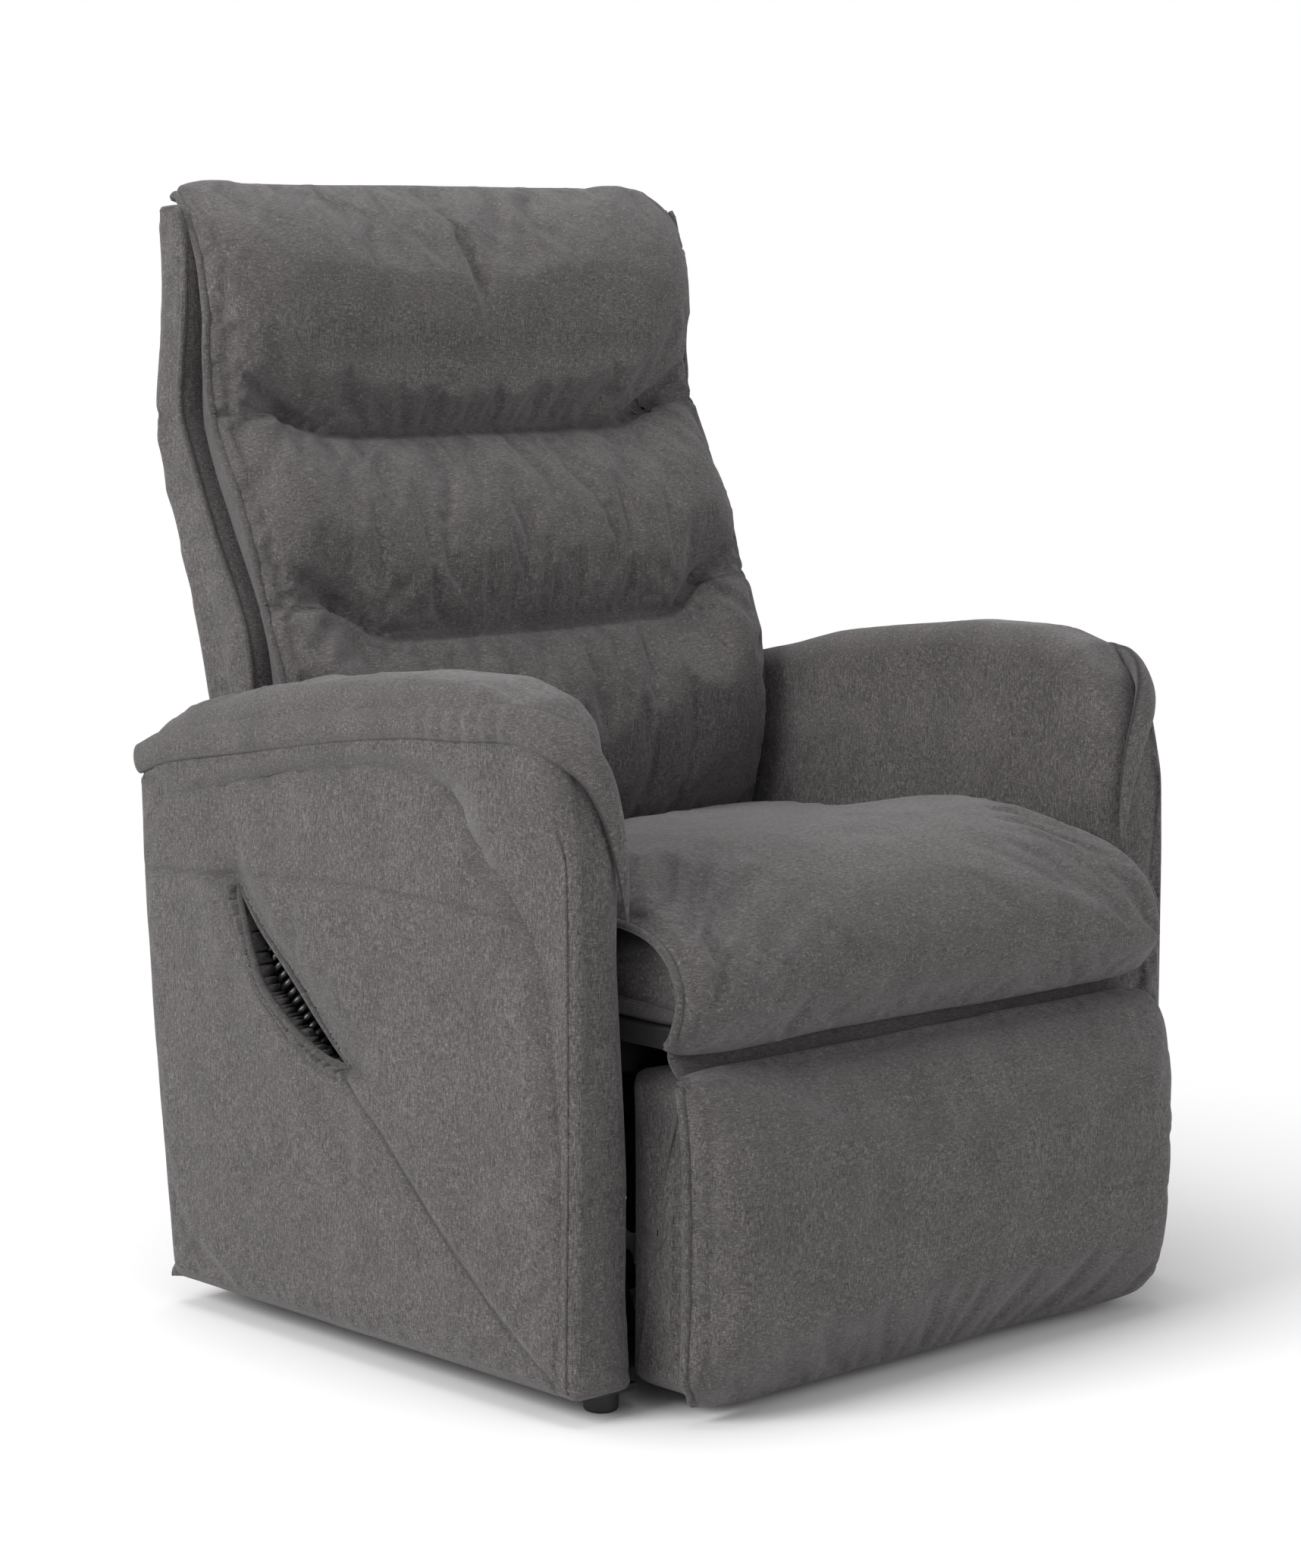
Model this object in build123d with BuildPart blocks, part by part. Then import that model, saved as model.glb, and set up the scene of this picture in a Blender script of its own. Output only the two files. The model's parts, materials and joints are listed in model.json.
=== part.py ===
"""Power lift recliner armchair.

Frame: +Z up, the chair faces -Y, right-hand side of the sitter is -X.
The origin is on the floor at the centre of the bounding box. Lengths are millimetres.
Side profiles are drawn on YZ planes, so their points are (y, z).
"""
import os
from build123d import *

os.makedirs("parts", exist_ok=True)

# ---------------------------------------------------------------- driving dimensions
ARM_OUTER = 400.0        # outer face of each arm from the centre plane
ARM_INNER = 324.0        # inner face of each arm
BAND_OVERHANG = 10.0     # how far the arm-top band stands out over the side panel
ARM_BOTTOM = 25.0
ARM_FRONT = -302.0
WALL = 8.0               # upholstered board thickness in the arms

SEAT_HALF = 318.0        # half width of the seat pad
BOLSTER_HALF = 302.0     # half width of the seat bolster and the footrest body
FOOTREST_HALF = 312.0
BACK_HALF = 320.0        # half width of the back shell below the headrest
HEAD_HALF = 328.0
PAD_HALF = 311.0         # half width of the back pads, inside the shell's side walls
SHELL_WALL = 6.0

RAIL_X = 305.0           # centre of the floor rails
RAIL_W = 25.0
RAIL_Z0 = 24.0
RAIL_Z1 = 54.0
FOOT_R = 16.0

LIFT_PIVOT = (-150.0, 75.0)         # (y, z) of each linkage pivot
CHASSIS_PIVOT = (170.0, 95.0)
FRONT_LINK_LOWER = (-200.0, 110.0)
FRONT_LINK_UPPER = (20.0, 140.0)
LIFT_MOTOR_PIVOT = (215.0, 65.0)
LIFT_CRANK_PIN = (-150.0, 165.0)
BACK_PIVOT = (250.0, 400.0)
BACK_MOTOR_PIVOT = (-140.0, 200.0)
BACK_LEVER_PIN = (281.0, 315.0)
HEAD_PIVOT = (352.0, 870.0)
LEG_LINK_PIVOT = (-220.0, 290.0)
LEG_ELBOW = (-189.0, 143.0)
FOOTREST_PIN = (-290.0, 240.0)
LEG_MOTOR_PIVOT = (60.0, 250.0)
LEG_CRANK_PIN = (-207.6, 231.3)     # on the rear leg link, 60 mm from its pivot

PIN_R = 7.0
RUNNING = 0.05           # radial clearance of a pin in its hole

# handset pocket: the pocket runs along a sloping axis in the right arm
POCKET_CENTRE = (151.0, 365.2)
POCKET_AXIS = (0.688, 0.726)
CORD_X = -377.5          # depth of the cord and handset in the pocket
CORD_TOP = (165.0, 380.0)
CORD_RADIUS = 13.0
CORD_COIL = 150.0
LEAD_RADIUS = 3.5
LEAD_LENGTH = 12.0

SIDES = (("right", -1), ("left", 1))


# ---------------------------------------------------------------- side profiles (y, z)
def profile(*edges):
    """Face bounded by a closed run of edges; its x stands for the row's y and its y for z."""
    return Face(Wire(list(edges)))


def slab(face, x0, x1):
    """Solid of a (y, z) profile between two x positions."""
    low, high = sorted((x0, x1))
    return Solid.extrude(Plane.YZ.offset(low) * face, Vector(high - low, 0, 0))


def panel_outline():
    """Outer side panel of an arm: front seam, band seam, rear edge and bottom edge."""
    front_low = Line((-281, ARM_BOTTOM), (-286, 271))
    front_high = Spline((-286, 271), (-272, 392), (-206, 505), (-152, 603))
    seam = Spline((-152, 603), (-10, 593), (170, 562), (345, 527))
    rear = ThreePointArc((345, 527), (329, 270), (300, ARM_BOTTOM))
    bottom = Line((300, ARM_BOTTOM), (-281, ARM_BOTTOM))
    return profile(front_low, front_high, seam, rear, bottom)


def arm_outline():
    """Whole arm seen from the side."""
    front = Line((ARM_FRONT + 4, ARM_BOTTOM), (ARM_FRONT, 440))
    top = Spline((ARM_FRONT, 440), (-290, 545), (-235, 641), (-120, 666), (0, 658), (110, 643),
                 (266, 610), (341, 562))
    band_end = Line((341, 562), (345, 527))
    rear = ThreePointArc((345, 527), (329, 270), (300, ARM_BOTTOM))
    bottom = Line((300, ARM_BOTTOM), (ARM_FRONT + 4, ARM_BOTTOM))
    return profile(front, top, band_end, rear, bottom)


def band_outline():
    """Band between the two welted seams along the side of the arm top."""
    lower = Spline((345, 527), (170, 562), (-10, 593), (-152, 604), (-240, 616))
    front = Line((-240, 616), (-258, 638))
    upper = Spline((-258, 638), (-126, 636), (16, 625), (143, 601), (341, 561))
    end = Line((341, 561), (345, 527))
    return profile(lower, front, upper, end)


# ---------------------------------------------------------------- base on the floor
with BuildPart() as base_frame:
    with BuildSketch(Plane.XY.offset(RAIL_Z0)):
        with Locations((-RAIL_X, 12), (RAIL_X, 12)):
            Rectangle(RAIL_W, 515)
        with Locations((0, -232), (0, 255)):
            Rectangle(2 * RAIL_X, RAIL_W)
    extrude(amount=RAIL_Z1 - RAIL_Z0)
    # hollow the tubes, leaving the corner blocks solid
    with BuildSketch(Plane.XY.offset(RAIL_Z0 + 3)):
        with Locations((-RAIL_X, 12), (RAIL_X, 12)):
            Rectangle(RAIL_W - 6, 440)
        with Locations((0, -232), (0, 255)):
            Rectangle(2 * RAIL_X - 60, RAIL_W - 6)
    extrude(amount=RAIL_Z1 - RAIL_Z0 - 6, mode=Mode.SUBTRACT)
    # outrigger plates that carry the front feet
    with BuildSketch(Plane.XY.offset(18)):
        for side in (-1, 1):
            with Locations((side * 331, -262)):
                Rectangle(46, 42)
            with Locations((side * 312, -240)):
                Rectangle(40, 20)
    extrude(amount=6)
    # ears for the lift arms, on the rails
    for side in (-1, 1):
        with BuildSketch(Plane.YZ.offset(side * 297)):
            with Locations((LIFT_PIVOT[0], 65)):
                Rectangle(46, 26)
            with Locations(LIFT_PIVOT):
                Circle(18)
                Circle(PIN_R + RUNNING, mode=Mode.SUBTRACT)
        extrude(amount=3, both=True)
    # ears for the front links, on the front cross tube
    for side in (-1, 1):
        with BuildSketch(Plane.YZ.offset(side * 267)):
            with BuildLine():
                Polyline((-244, 50), (-220, 50), (-184, 108), (-200, 126), (-216, 112), (-244, 50))
            make_face()
            with Locations(FRONT_LINK_LOWER):
                Circle(16)
                Circle(PIN_R + RUNNING, mode=Mode.SUBTRACT)
        extrude(amount=3, both=True)
    # ears for the lift motor, on the rear cross tube
    for x in (-23, 23):
        with BuildSketch(Plane.YZ.offset(x)):
            with Locations((235, 58)):
                Rectangle(30, 26)
            with Locations(LIFT_MOTOR_PIVOT):
                Circle(14)
                Circle(PIN_R + RUNNING, mode=Mode.SUBTRACT)
        extrude(amount=2.5, both=True)
base_frame.part.label = "base_frame"
export_step(base_frame.part, "parts/base_frame.step")

with BuildPart() as feet:
    with Locations((-335, -265), (335, -265)):
        Cylinder(FOOT_R, 18, align=(Align.CENTER, Align.CENTER, Align.MIN))
    with Locations((-RAIL_X, 250), (RAIL_X, 250)):
        Cylinder(FOOT_R, RAIL_Z0, align=(Align.CENTER, Align.CENTER, Align.MIN))
    fillet(feet.faces().filter_by(Axis.Z).group_by(Axis.Z)[0].edges(), 4)
feet.part.label = "feet"
export_step(feet.part, "parts/feet.step")

with BuildPart() as power_supply:
    with BuildSketch(Plane.XY.offset(RAIL_Z1)):
        with Locations((180, 255)):
            RectangleRounded(120, 62, 8)
    extrude(amount=48)
    fillet(power_supply.faces().sort_by(Axis.Z)[-1].edges(), 4)
    with BuildSketch(Plane.XZ.offset(-286)):
        with Locations((180, 78)):
            RectangleRounded(22, 14, 4)
    extrude(amount=14, mode=Mode.SUBTRACT)
power_supply.part.label = "power_supply"
export_step(power_supply.part, "parts/power_supply.step")

with BuildPart() as mains_inlet:
    with BuildSketch(Plane.XZ.offset(-272.1)):
        with Locations((180, 78)):
            RectangleRounded(21.6, 13.6, 3.8)
    extrude(amount=-14)
    with BuildSketch(Plane.XZ.offset(-286.1)):
        with Locations((176, 78), (184, 78)):
            Circle(3.2)
    extrude(amount=9, mode=Mode.SUBTRACT)
mains_inlet.part.label = "mains_inlet"
export_step(mains_inlet.part, "parts/mains_inlet.step")


# ---------------------------------------------------------------- lift linkage
def rod(point, radius, x0, x1):
    """Round pin or tube along X through a (y, z) point."""
    return Solid.make_cylinder(radius, x1 - x0, Plane(origin=(x0, point[0], point[1]), z_dir=(1, 0, 0)))


def bar(start, end, radius, x0, x1, hole_radii):
    """Flat link bar between two (y, z) points, with round ends, spanning x0 to x1."""
    along = Vector(0, end[0] - start[0], end[1] - start[1])
    plane = Plane(origin=(x0, start[0], start[1]), x_dir=along, z_dir=(1, 0, 0))
    web = Solid.make_box(along.length, 2 * radius, x1 - x0, Plane(
        origin=plane.from_local_coords(Vector(0, -radius, 0)), x_dir=along, z_dir=(1, 0, 0)))
    shape = web + rod(start, radius, x0, x1) + rod(end, radius, x0, x1)
    for point, hole in zip((start, end), hole_radii):
        if hole:
            shape -= rod(point, hole, x0, x1)
    return shape


lift_bar_right = bar(LIFT_PIVOT, CHASSIS_PIVOT, 18, -292, -282, (0, PIN_R + RUNNING))
lift_bar_left = bar(LIFT_PIVOT, CHASSIS_PIVOT, 18, 282, 292, (0, PIN_R + RUNNING))
lift_torsion_tube = rod(LIFT_PIVOT, 11, -282, 282)
lift_crank_right = bar(LIFT_PIVOT, LIFT_CRANK_PIN, 14, -22, -17, (0, 5))
lift_crank_left = bar(LIFT_PIVOT, LIFT_CRANK_PIN, 14, 17, 22, (0, 5))
with BuildPart() as lift_arms:
    add(lift_bar_right)
    add(lift_bar_left)
    add(lift_torsion_tube)
    add(lift_crank_right)
    add(lift_crank_left)
    # stub axles in the base ears
    add(rod(LIFT_PIVOT, PIN_R, -301, -291))
    add(rod(LIFT_PIVOT, PIN_R, 291, 301))
lift_arms.part.label = "lift_arms"
export_step(lift_arms.part, "parts/lift_arms.step")

front_link_hole = 11.0
front_link_right = bar(FRONT_LINK_LOWER, FRONT_LINK_UPPER, 16, -262, -254, (0, front_link_hole))
front_link_left = bar(FRONT_LINK_LOWER, FRONT_LINK_UPPER, 16, 254, 262, (0, front_link_hole))
with BuildPart() as front_links:
    add(front_link_right)
    add(front_link_left)
    add(rod(FRONT_LINK_LOWER, PIN_R, -271, -260))
    add(rod(FRONT_LINK_LOWER, PIN_R, 260, 271))
    add(rod(FRONT_LINK_LOWER, 12, -254, -246))
    add(rod(FRONT_LINK_LOWER, 12, 246, 254))
front_links.part.label = "front_links"
export_step(front_links.part, "parts/front_links.step")


# ---------------------------------------------------------------- linear motors
def drive_plane(x, start, end):
    """Plane at the start pivot whose Z runs towards the end pivot and whose X is the row's X."""
    direction = Vector(0, end[0] - start[0], end[1] - start[1]).normalized()
    return Plane(origin=(x, start[0], start[1]), x_dir=(1, 0, 0), z_dir=direction)


def centred_box(plane, across, height, length):
    """Box centred on a plane's origin, running along the plane's normal from it."""
    corner = plane.from_local_coords(Vector(-across / 2, -height / 2, 0))
    return Solid.make_box(across, height, length, Plane(origin=corner, x_dir=plane.x_dir, z_dir=plane.z_dir))


def motor_body(x, start, end, tube_length, box_side):
    """Gear motor housing with its outer tube and rear pivot lug; the bore takes the rod."""
    axis = drive_plane(x, start, end)
    beside = drive_plane(x + box_side * 38, start, end)
    tube = Solid.make_cylinder(16, tube_length, axis.offset(20))
    gearbox = centred_box(axis.offset(10), 40, 36, 60)
    motor = Solid.make_cylinder(20, 96, beside.offset(18))
    lug = rod(start, 15, x - 17, x + 17)
    bore = Solid.make_cylinder(8.2, tube_length, axis.offset(60))
    pin_hole = rod(start, PIN_R + RUNNING, x - 20, x + 20)
    return tube + gearbox + motor + lug - bore - pin_hole


def motor_rod(x, start, end, tail):
    """Sliding rod with the round eye at its end; its tail lies that far from the rear pivot."""
    axis = drive_plane(x, start, end)
    length = ((end[0] - start[0]) ** 2 + (end[1] - start[1]) ** 2) ** 0.5
    shaft = Solid.make_cylinder(8, length - tail, axis.offset(tail))
    return shaft + rod(end, 14, x - 10, x + 10) - rod(end, 5, x - 12, x + 12)


# the back motor stands nearly run out at rest and draws in to recline, the other two run out
MOTORS = (
    ("lift", 0.0, LIFT_MOTOR_PIVOT, LIFT_CRANK_PIN, 250.0, 1, 65.0),
    ("back", 110.0, BACK_MOTOR_PIVOT, BACK_LEVER_PIN, 270.0, -1, 125.0),
    ("leg", -60.0, LEG_MOTOR_PIVOT, LEG_CRANK_PIN, 170.0, 1, 65.0),
)
for motor_name, x, start, end, tube_length, box_side, rod_tail in MOTORS:
    with BuildPart() as housing:
        add(motor_body(x, start, end, tube_length, box_side))
    housing.part.label = f"{motor_name}_motor"
    export_step(housing.part, f"parts/{motor_name}_motor.step")
    with BuildPart() as ram:
        add(motor_rod(x, start, end, rod_tail))
    ram.part.label = f"{motor_name}_motor_rod"
    export_step(ram.part, f"parts/{motor_name}_motor_rod.step")

with BuildPart() as lift_motor_pin:
    add(rod(LIFT_MOTOR_PIVOT, PIN_R, -27, 27))
lift_motor_pin.part.label = "lift_motor_pin"
export_step(lift_motor_pin.part, "parts/lift_motor_pin.step")

# ---------------------------------------------------------------- chassis under the seat
with BuildPart() as chassis_frame:
    with BuildSketch(Plane.XY.offset(302)):
        with Locations((-285, 28), (285, 28)):
            Rectangle(RAIL_W, 552)
        with Locations((0, -222), (0, 80)):
            Rectangle(560, RAIL_W)
    extrude(amount=30)
    with BuildSketch(Plane.XY.offset(305)):
        with Locations((-285, 28), (285, 28)):
            Rectangle(RAIL_W - 6, 500)
        with Locations((0, -222), (0, 80)):
            Rectangle(500, RAIL_W - 6)
    extrude(amount=24, mode=Mode.SUBTRACT)
    for side in (-1, 1):
        # back pivot ears
        with BuildSketch(Plane.YZ.offset(side * 300)):
            with BuildLine():
                Polyline((215, 304), (285, 304), (268, 400), (232, 400), (215, 304))
            make_face()
            with Locations(BACK_PIVOT):
                Circle(18)
                Circle(PIN_R + RUNNING, mode=Mode.SUBTRACT)
        extrude(amount=2.5, both=True)
        # lift pivot ears
        with BuildSketch(Plane.YZ.offset(side * 297.5)):
            with BuildLine():
                Polyline((120, 330), (220, 330), (188, 95), (152, 95), (120, 330))
            make_face()
            with Locations(CHASSIS_PIVOT):
                Circle(18)
        extrude(amount=3, both=True)
        # front link ears
        with BuildSketch(Plane.YZ.offset(side * 269)):
            with BuildLine():
                Polyline((-20, 304), (60, 304), (34, 140), (6, 140), (-20, 304))
            make_face()
            with Locations(FRONT_LINK_UPPER):
                Circle(14)
        extrude(amount=4, both=True)
        # leg link ears under the front cross tube
        with BuildSketch(Plane.YZ.offset(side * 231)):
            with BuildLine():
                Polyline((-236, 310), (-204, 310), (-206, 288), (-234, 288), (-236, 310))
            make_face()
            with Locations(LEG_LINK_PIVOT):
                Circle(15)
                Circle(PIN_R + RUNNING, mode=Mode.SUBTRACT)
        extrude(amount=2.5, both=True)
    # ears for the back motor
    for x in (87, 133):
        with BuildSketch(Plane.YZ.offset(x)):
            with BuildLine():
                Polyline((-234, 308), (-150, 308), (-126, 200), (-154, 200), (-234, 308))
            make_face()
            with Locations(BACK_MOTOR_PIVOT):
                Circle(15)
                Circle(PIN_R + RUNNING, mode=Mode.SUBTRACT)
        extrude(amount=2.5, both=True)
    # ears for the leg motor
    for x in (-83, -37):
        with BuildSketch(Plane.YZ.offset(x)):
            with BuildLine():
                Polyline((68, 308), (92, 308), (75, 250), (46, 250), (68, 308))
            make_face()
            with Locations(LEG_MOTOR_PIVOT):
                Circle(15)
                Circle(PIN_R + RUNNING, mode=Mode.SUBTRACT)
        extrude(amount=2.5, both=True)
    # stub axles in the lift arms
    add(rod(CHASSIS_PIVOT, PIN_R, -295, -279))
    add(rod(CHASSIS_PIVOT, PIN_R, 279, 295))
    # stub pins of the front links, with room in the link's eye
    add(rod(FRONT_LINK_UPPER, 5, -266, -251))
    add(rod(FRONT_LINK_UPPER, 5, 251, 266))
chassis_frame.part.label = "chassis_frame"
export_step(chassis_frame.part, "parts/chassis_frame.step")

with BuildPart() as chassis_pins:
    add(rod(BACK_MOTOR_PIVOT, PIN_R, 83, 137))
    add(rod(LEG_MOTOR_PIVOT, PIN_R, -87, -33))
chassis_pins.part.label = "motor_pins"
export_step(chassis_pins.part, "parts/motor_pins.step")

with BuildPart() as seat_deck:
    with BuildSketch(Plane.XY.offset(332)):
        with Locations((0, -62)):
            Rectangle(592, 536)
            Rectangle(480, 420, mode=Mode.SUBTRACT)
    extrude(amount=18)
seat_deck.part.label = "seat_deck"
export_step(seat_deck.part, "parts/seat_deck.step")

with BuildPart() as seat_webbing:
    with BuildSketch(Plane.XY.offset(350)):
        with GridLocations(0, 84, 1, 5):
            with Locations((0, -62)):
                Rectangle(540, 55)
    extrude(amount=2.5)
seat_webbing.part.label = "seat_webbing"
export_step(seat_webbing.part, "parts/seat_webbing.step")

with BuildPart() as rear_valance:
    with BuildSketch(Plane.YZ.offset(-SEAT_HALF)):
        with Locations((311, 193.5)):
            Rectangle(12, 333)
    extrude(amount=2 * SEAT_HALF)
rear_valance.part.label = "rear_valance"
export_step(rear_valance.part, "parts/rear_valance.step")

# ---------------------------------------------------------------- seat
with BuildPart() as seat_bolster:
    with BuildSketch(Plane.YZ.offset(-BOLSTER_HALF)):
        with BuildLine():
            Line((-338, 353), (-343, 395))
            ThreePointArc((-343, 395), (-336, 424), (-312, 436))
            Line((-312, 436), (205, 402))
            Line((205, 402), (205, 353))
            Line((205, 353), (-338, 353))
        make_face()
    extrude(amount=2 * BOLSTER_HALF)
seat_bolster.part.label = "seat_bolster"
export_step(seat_bolster.part, "parts/seat_bolster.step")

with BuildPart() as seat_pad:
    with BuildSketch(Plane.YZ.offset(-SEAT_HALF)):
        with BuildLine():
            Spline((186, 432), (-23, 458), (-182, 474), (-288, 466), (-350, 441), (-380, 392), (-368, 350),
                   (-349, 333))
            Line((-349, 333), (-344.5, 353))
            Line((-344.5, 353), (-345, 396))
            ThreePointArc((-345, 396), (-337.5, 425.5), (-312, 437.5))
            Line((-312, 437.5), (186, 404.8))
            Line((186, 404.8), (186, 432))
        make_face()
    extrude(amount=2 * SEAT_HALF)
seat_pad.part.label = "seat_pad"
export_step(seat_pad.part, "parts/seat_pad.step")

# ---------------------------------------------------------------- footrest and its links
with BuildPart() as footrest_body:
    with BuildSketch(Plane.XZ.offset(262)):
        with Locations((0, 165)):
            RectangleRounded(2 * BOLSTER_HALF, 296, 22)
    extrude(amount=88)
    with BuildSketch(Plane.XZ.offset(262)):
        with Locations((0, 167)):
            RectangleRounded(544, 250, 10)
    extrude(amount=60, mode=Mode.SUBTRACT)
footrest_body.part.label = "footrest_body"
export_step(footrest_body.part, "parts/footrest_body.step")

with BuildPart() as footrest_board:
    with BuildSketch(Plane.XZ.offset(309)):
        with Locations((0, 167)):
            Rectangle(534, 240)
    extrude(amount=12)
footrest_board.part.label = "footrest_board"
export_step(footrest_board.part, "parts/footrest_board.step")

with BuildPart() as footrest_brackets:
    for side in (-1, 1):
        with BuildSketch(Plane.YZ.offset(side * 201)):
            with Locations((-303, 240)):
                Rectangle(11.6, 60)
            with BuildLine():
                Polyline((-308.8, 215), (-300, 215), (-280, 232), (-280, 248), (-300, 265), (-308.8, 265),
                         (-308.8, 215))
            make_face()
            with Locations(FOOTREST_PIN):
                Circle(12)
        extrude(amount=2.5, both=True)
footrest_brackets.part.label = "footrest_brackets"
export_step(footrest_brackets.part, "parts/footrest_brackets.step")

with BuildPart() as footrest_pad:
    with BuildSketch(Plane.YZ.offset(-FOOTREST_HALF)):
        with BuildLine():
            Line((-350.6, 316), (-350.6, 14))
            Spline((-350.6, 14), (-366, 15), (-384, 32), (-396, 118), (-398, 216), (-386, 296), (-368, 316),
                   (-350.6, 316))
        make_face()
    extrude(amount=2 * FOOTREST_HALF)
footrest_pad.part.label = "footrest_pad"
export_step(footrest_pad.part, "parts/footrest_pad.step")

leg_link_rear_right = bar(LEG_LINK_PIVOT, LEG_ELBOW, 12, -227, -221, (0, PIN_R + RUNNING))
leg_link_rear_left = bar(LEG_LINK_PIVOT, LEG_ELBOW, 12, 221, 227, (0, PIN_R + RUNNING))
leg_cross_rod = (-199.6, 193.4)      # cross rod of the rear links, between pivot and elbow
leg_crank_right = bar(leg_cross_rod, LEG_CRANK_PIN, 10, -77, -72, (0, 5))
leg_crank_left = bar(leg_cross_rod, LEG_CRANK_PIN, 10, -48, -43, (0, 5))
with BuildPart() as leg_links_rear:
    add(leg_link_rear_right)
    add(leg_link_rear_left)
    add(rod(leg_cross_rod, 8, -222, 222))
    add(leg_crank_right)
    add(leg_crank_left)
    add(rod(LEG_LINK_PIVOT, PIN_R, -235, -226))
    add(rod(LEG_LINK_PIVOT, PIN_R, 226, 235))
leg_links_rear.part.label = "leg_links_rear"
export_step(leg_links_rear.part, "parts/leg_links_rear.step")

leg_link_front_right = bar(LEG_ELBOW, FOOTREST_PIN, 12, -218, -212, (0, 9))
leg_link_front_left = bar(LEG_ELBOW, FOOTREST_PIN, 12, 212, 218, (0, 9))
with BuildPart() as leg_links_front:
    add(leg_link_front_right)
    add(leg_link_front_left)
    add(rod(LEG_ELBOW, PIN_R, -228, -217))
    add(rod(LEG_ELBOW, PIN_R, 217, 228))
    add(rod(LEG_ELBOW, 6, -213, 213))
leg_links_front.part.label = "leg_links_front"
export_step(leg_links_front.part, "parts/leg_links_front.step")

# ---------------------------------------------------------------- arms
arm_face = arm_outline()
panel_face = panel_outline()
band_face = band_outline()
slit = profile(
    Line((176, 436), (6, 281)),
    Spline((6, 281), (40, 288), (83, 314), (130, 346), (158, 395), (176, 436)))
mount_points = ((-242, 317), (292, 317))
# the rear wall is a band of the panel's outline, along its rear edge
rear_outer = profile(
    ThreePointArc((345, 527), (329, 270), (300, ARM_BOTTOM)),
    Line((300, ARM_BOTTOM), (292, ARM_BOTTOM)),
    ThreePointArc((292, ARM_BOTTOM), (321, 270), (337, 528.5)),
    Line((337, 528.5), (345, 527)))
for name, side in SIDES:
    body = slab(arm_face, side * ARM_INNER, side * ARM_OUTER)
    front_edges = body.edges().filter_by(lambda edge: edge.center().Y < ARM_FRONT + 6 and edge.length > 300)
    top_edges = body.edges().filter_by(lambda edge: edge.center().Z > 560 and edge.length > 500)
    body = body.fillet(16, front_edges + top_edges)
    cavity = slab(panel_face, side * (ARM_INNER + 14), side * (ARM_OUTER + 5))
    with BuildPart() as arm_pad:
        add(body - cavity)
        for point in mount_points:
            add(rod(point, 5.2, min(side * 320, side * 342), max(side * 320, side * 342)), mode=Mode.SUBTRACT)
    arm_pad.part.label = f"{name}_arm_pad"
    export_step(arm_pad.part, f"parts/{name}_arm_pad.step")

    with BuildPart() as arm_band:
        add(slab(band_face, side * (ARM_OUTER + 0.2), side * (ARM_OUTER + BAND_OVERHANG)))
    arm_band.part.label = f"{name}_arm_band"
    export_step(arm_band.part, f"parts/{name}_arm_band.step")

    with BuildPart() as arm_panel:
        add(slab(panel_face, side * (ARM_OUTER - WALL), side * ARM_OUTER))
        add(slab(rear_outer, side * (ARM_INNER + 15), side * (ARM_OUTER - 1)))
        if name == "right":
            add(slab(slit, -ARM_OUTER - 1, -ARM_OUTER + WALL + 1), mode=Mode.SUBTRACT)
    arm_panel.part.label = f"{name}_arm_panel"
    export_step(arm_panel.part, f"parts/{name}_arm_panel.step")

    with BuildPart() as arm_frame:
        with BuildSketch(Plane.YZ.offset(side * (ARM_INNER + 15))):
            with BuildLine():
                Polyline((-262, 32), (-226, 32), (-226, 380), (-200, 440), (-135, 576), (-152, 576),
                         (-190, 512), (-240, 425), (-262, 370), (-262, 32))
            make_face()
            with BuildLine():
                Polyline((-160, 562), (-144, 584), (318, 528), (318, 512), (-160, 562))
            make_face()
            with BuildLine():
                Polyline((255, 32), (290, 32), (316, 330), (328, 518), (300, 518), (278, 330), (255, 32))
            make_face()
            with Locations((0, 60)):
                Rectangle(520, 40)
            with Locations(*mount_points):
                Circle(5.2, mode=Mode.SUBTRACT)
        extrude(amount=side * 36)
    arm_frame.part.label = f"{name}_arm_frame"
    export_step(arm_frame.part, f"parts/{name}_arm_frame.step")

with BuildPart() as arm_brackets:
    for side in (-1, 1):
        with BuildSketch(Plane.YZ.offset(side * 297.7)):
            with Locations((-225, 317), (275, 317)):
                Rectangle(46, 26)
            with Locations((-242, 317), (292, 317)):
                Circle(5.2, mode=Mode.SUBTRACT)
        extrude(amount=side * 26)
    # keep clear of the back pivot ears
    for side in (-1, 1):
        with BuildSketch(Plane.YZ.offset(side * 297)):
            with Locations((270, 317)):
                Rectangle(44, 30)
        extrude(amount=side * 6.2, mode=Mode.SUBTRACT)
arm_brackets.part.label = "arm_brackets"
export_step(arm_brackets.part, "parts/arm_brackets.step")

with BuildPart() as arm_bolts:
    for side in (-1, 1):
        for point in mount_points:
            add(rod(point, 5, min(side * 298.5, side * 376), max(side * 298.5, side * 376)))
        with BuildSketch(Plane.YZ.offset(side * 375.5)):
            with Locations(*mount_points):
                RegularPolygon(9, 6)
        extrude(amount=side * 6)
arm_bolts.part.label = "arm_bolts"
export_step(arm_bolts.part, "parts/arm_bolts.step")

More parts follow.
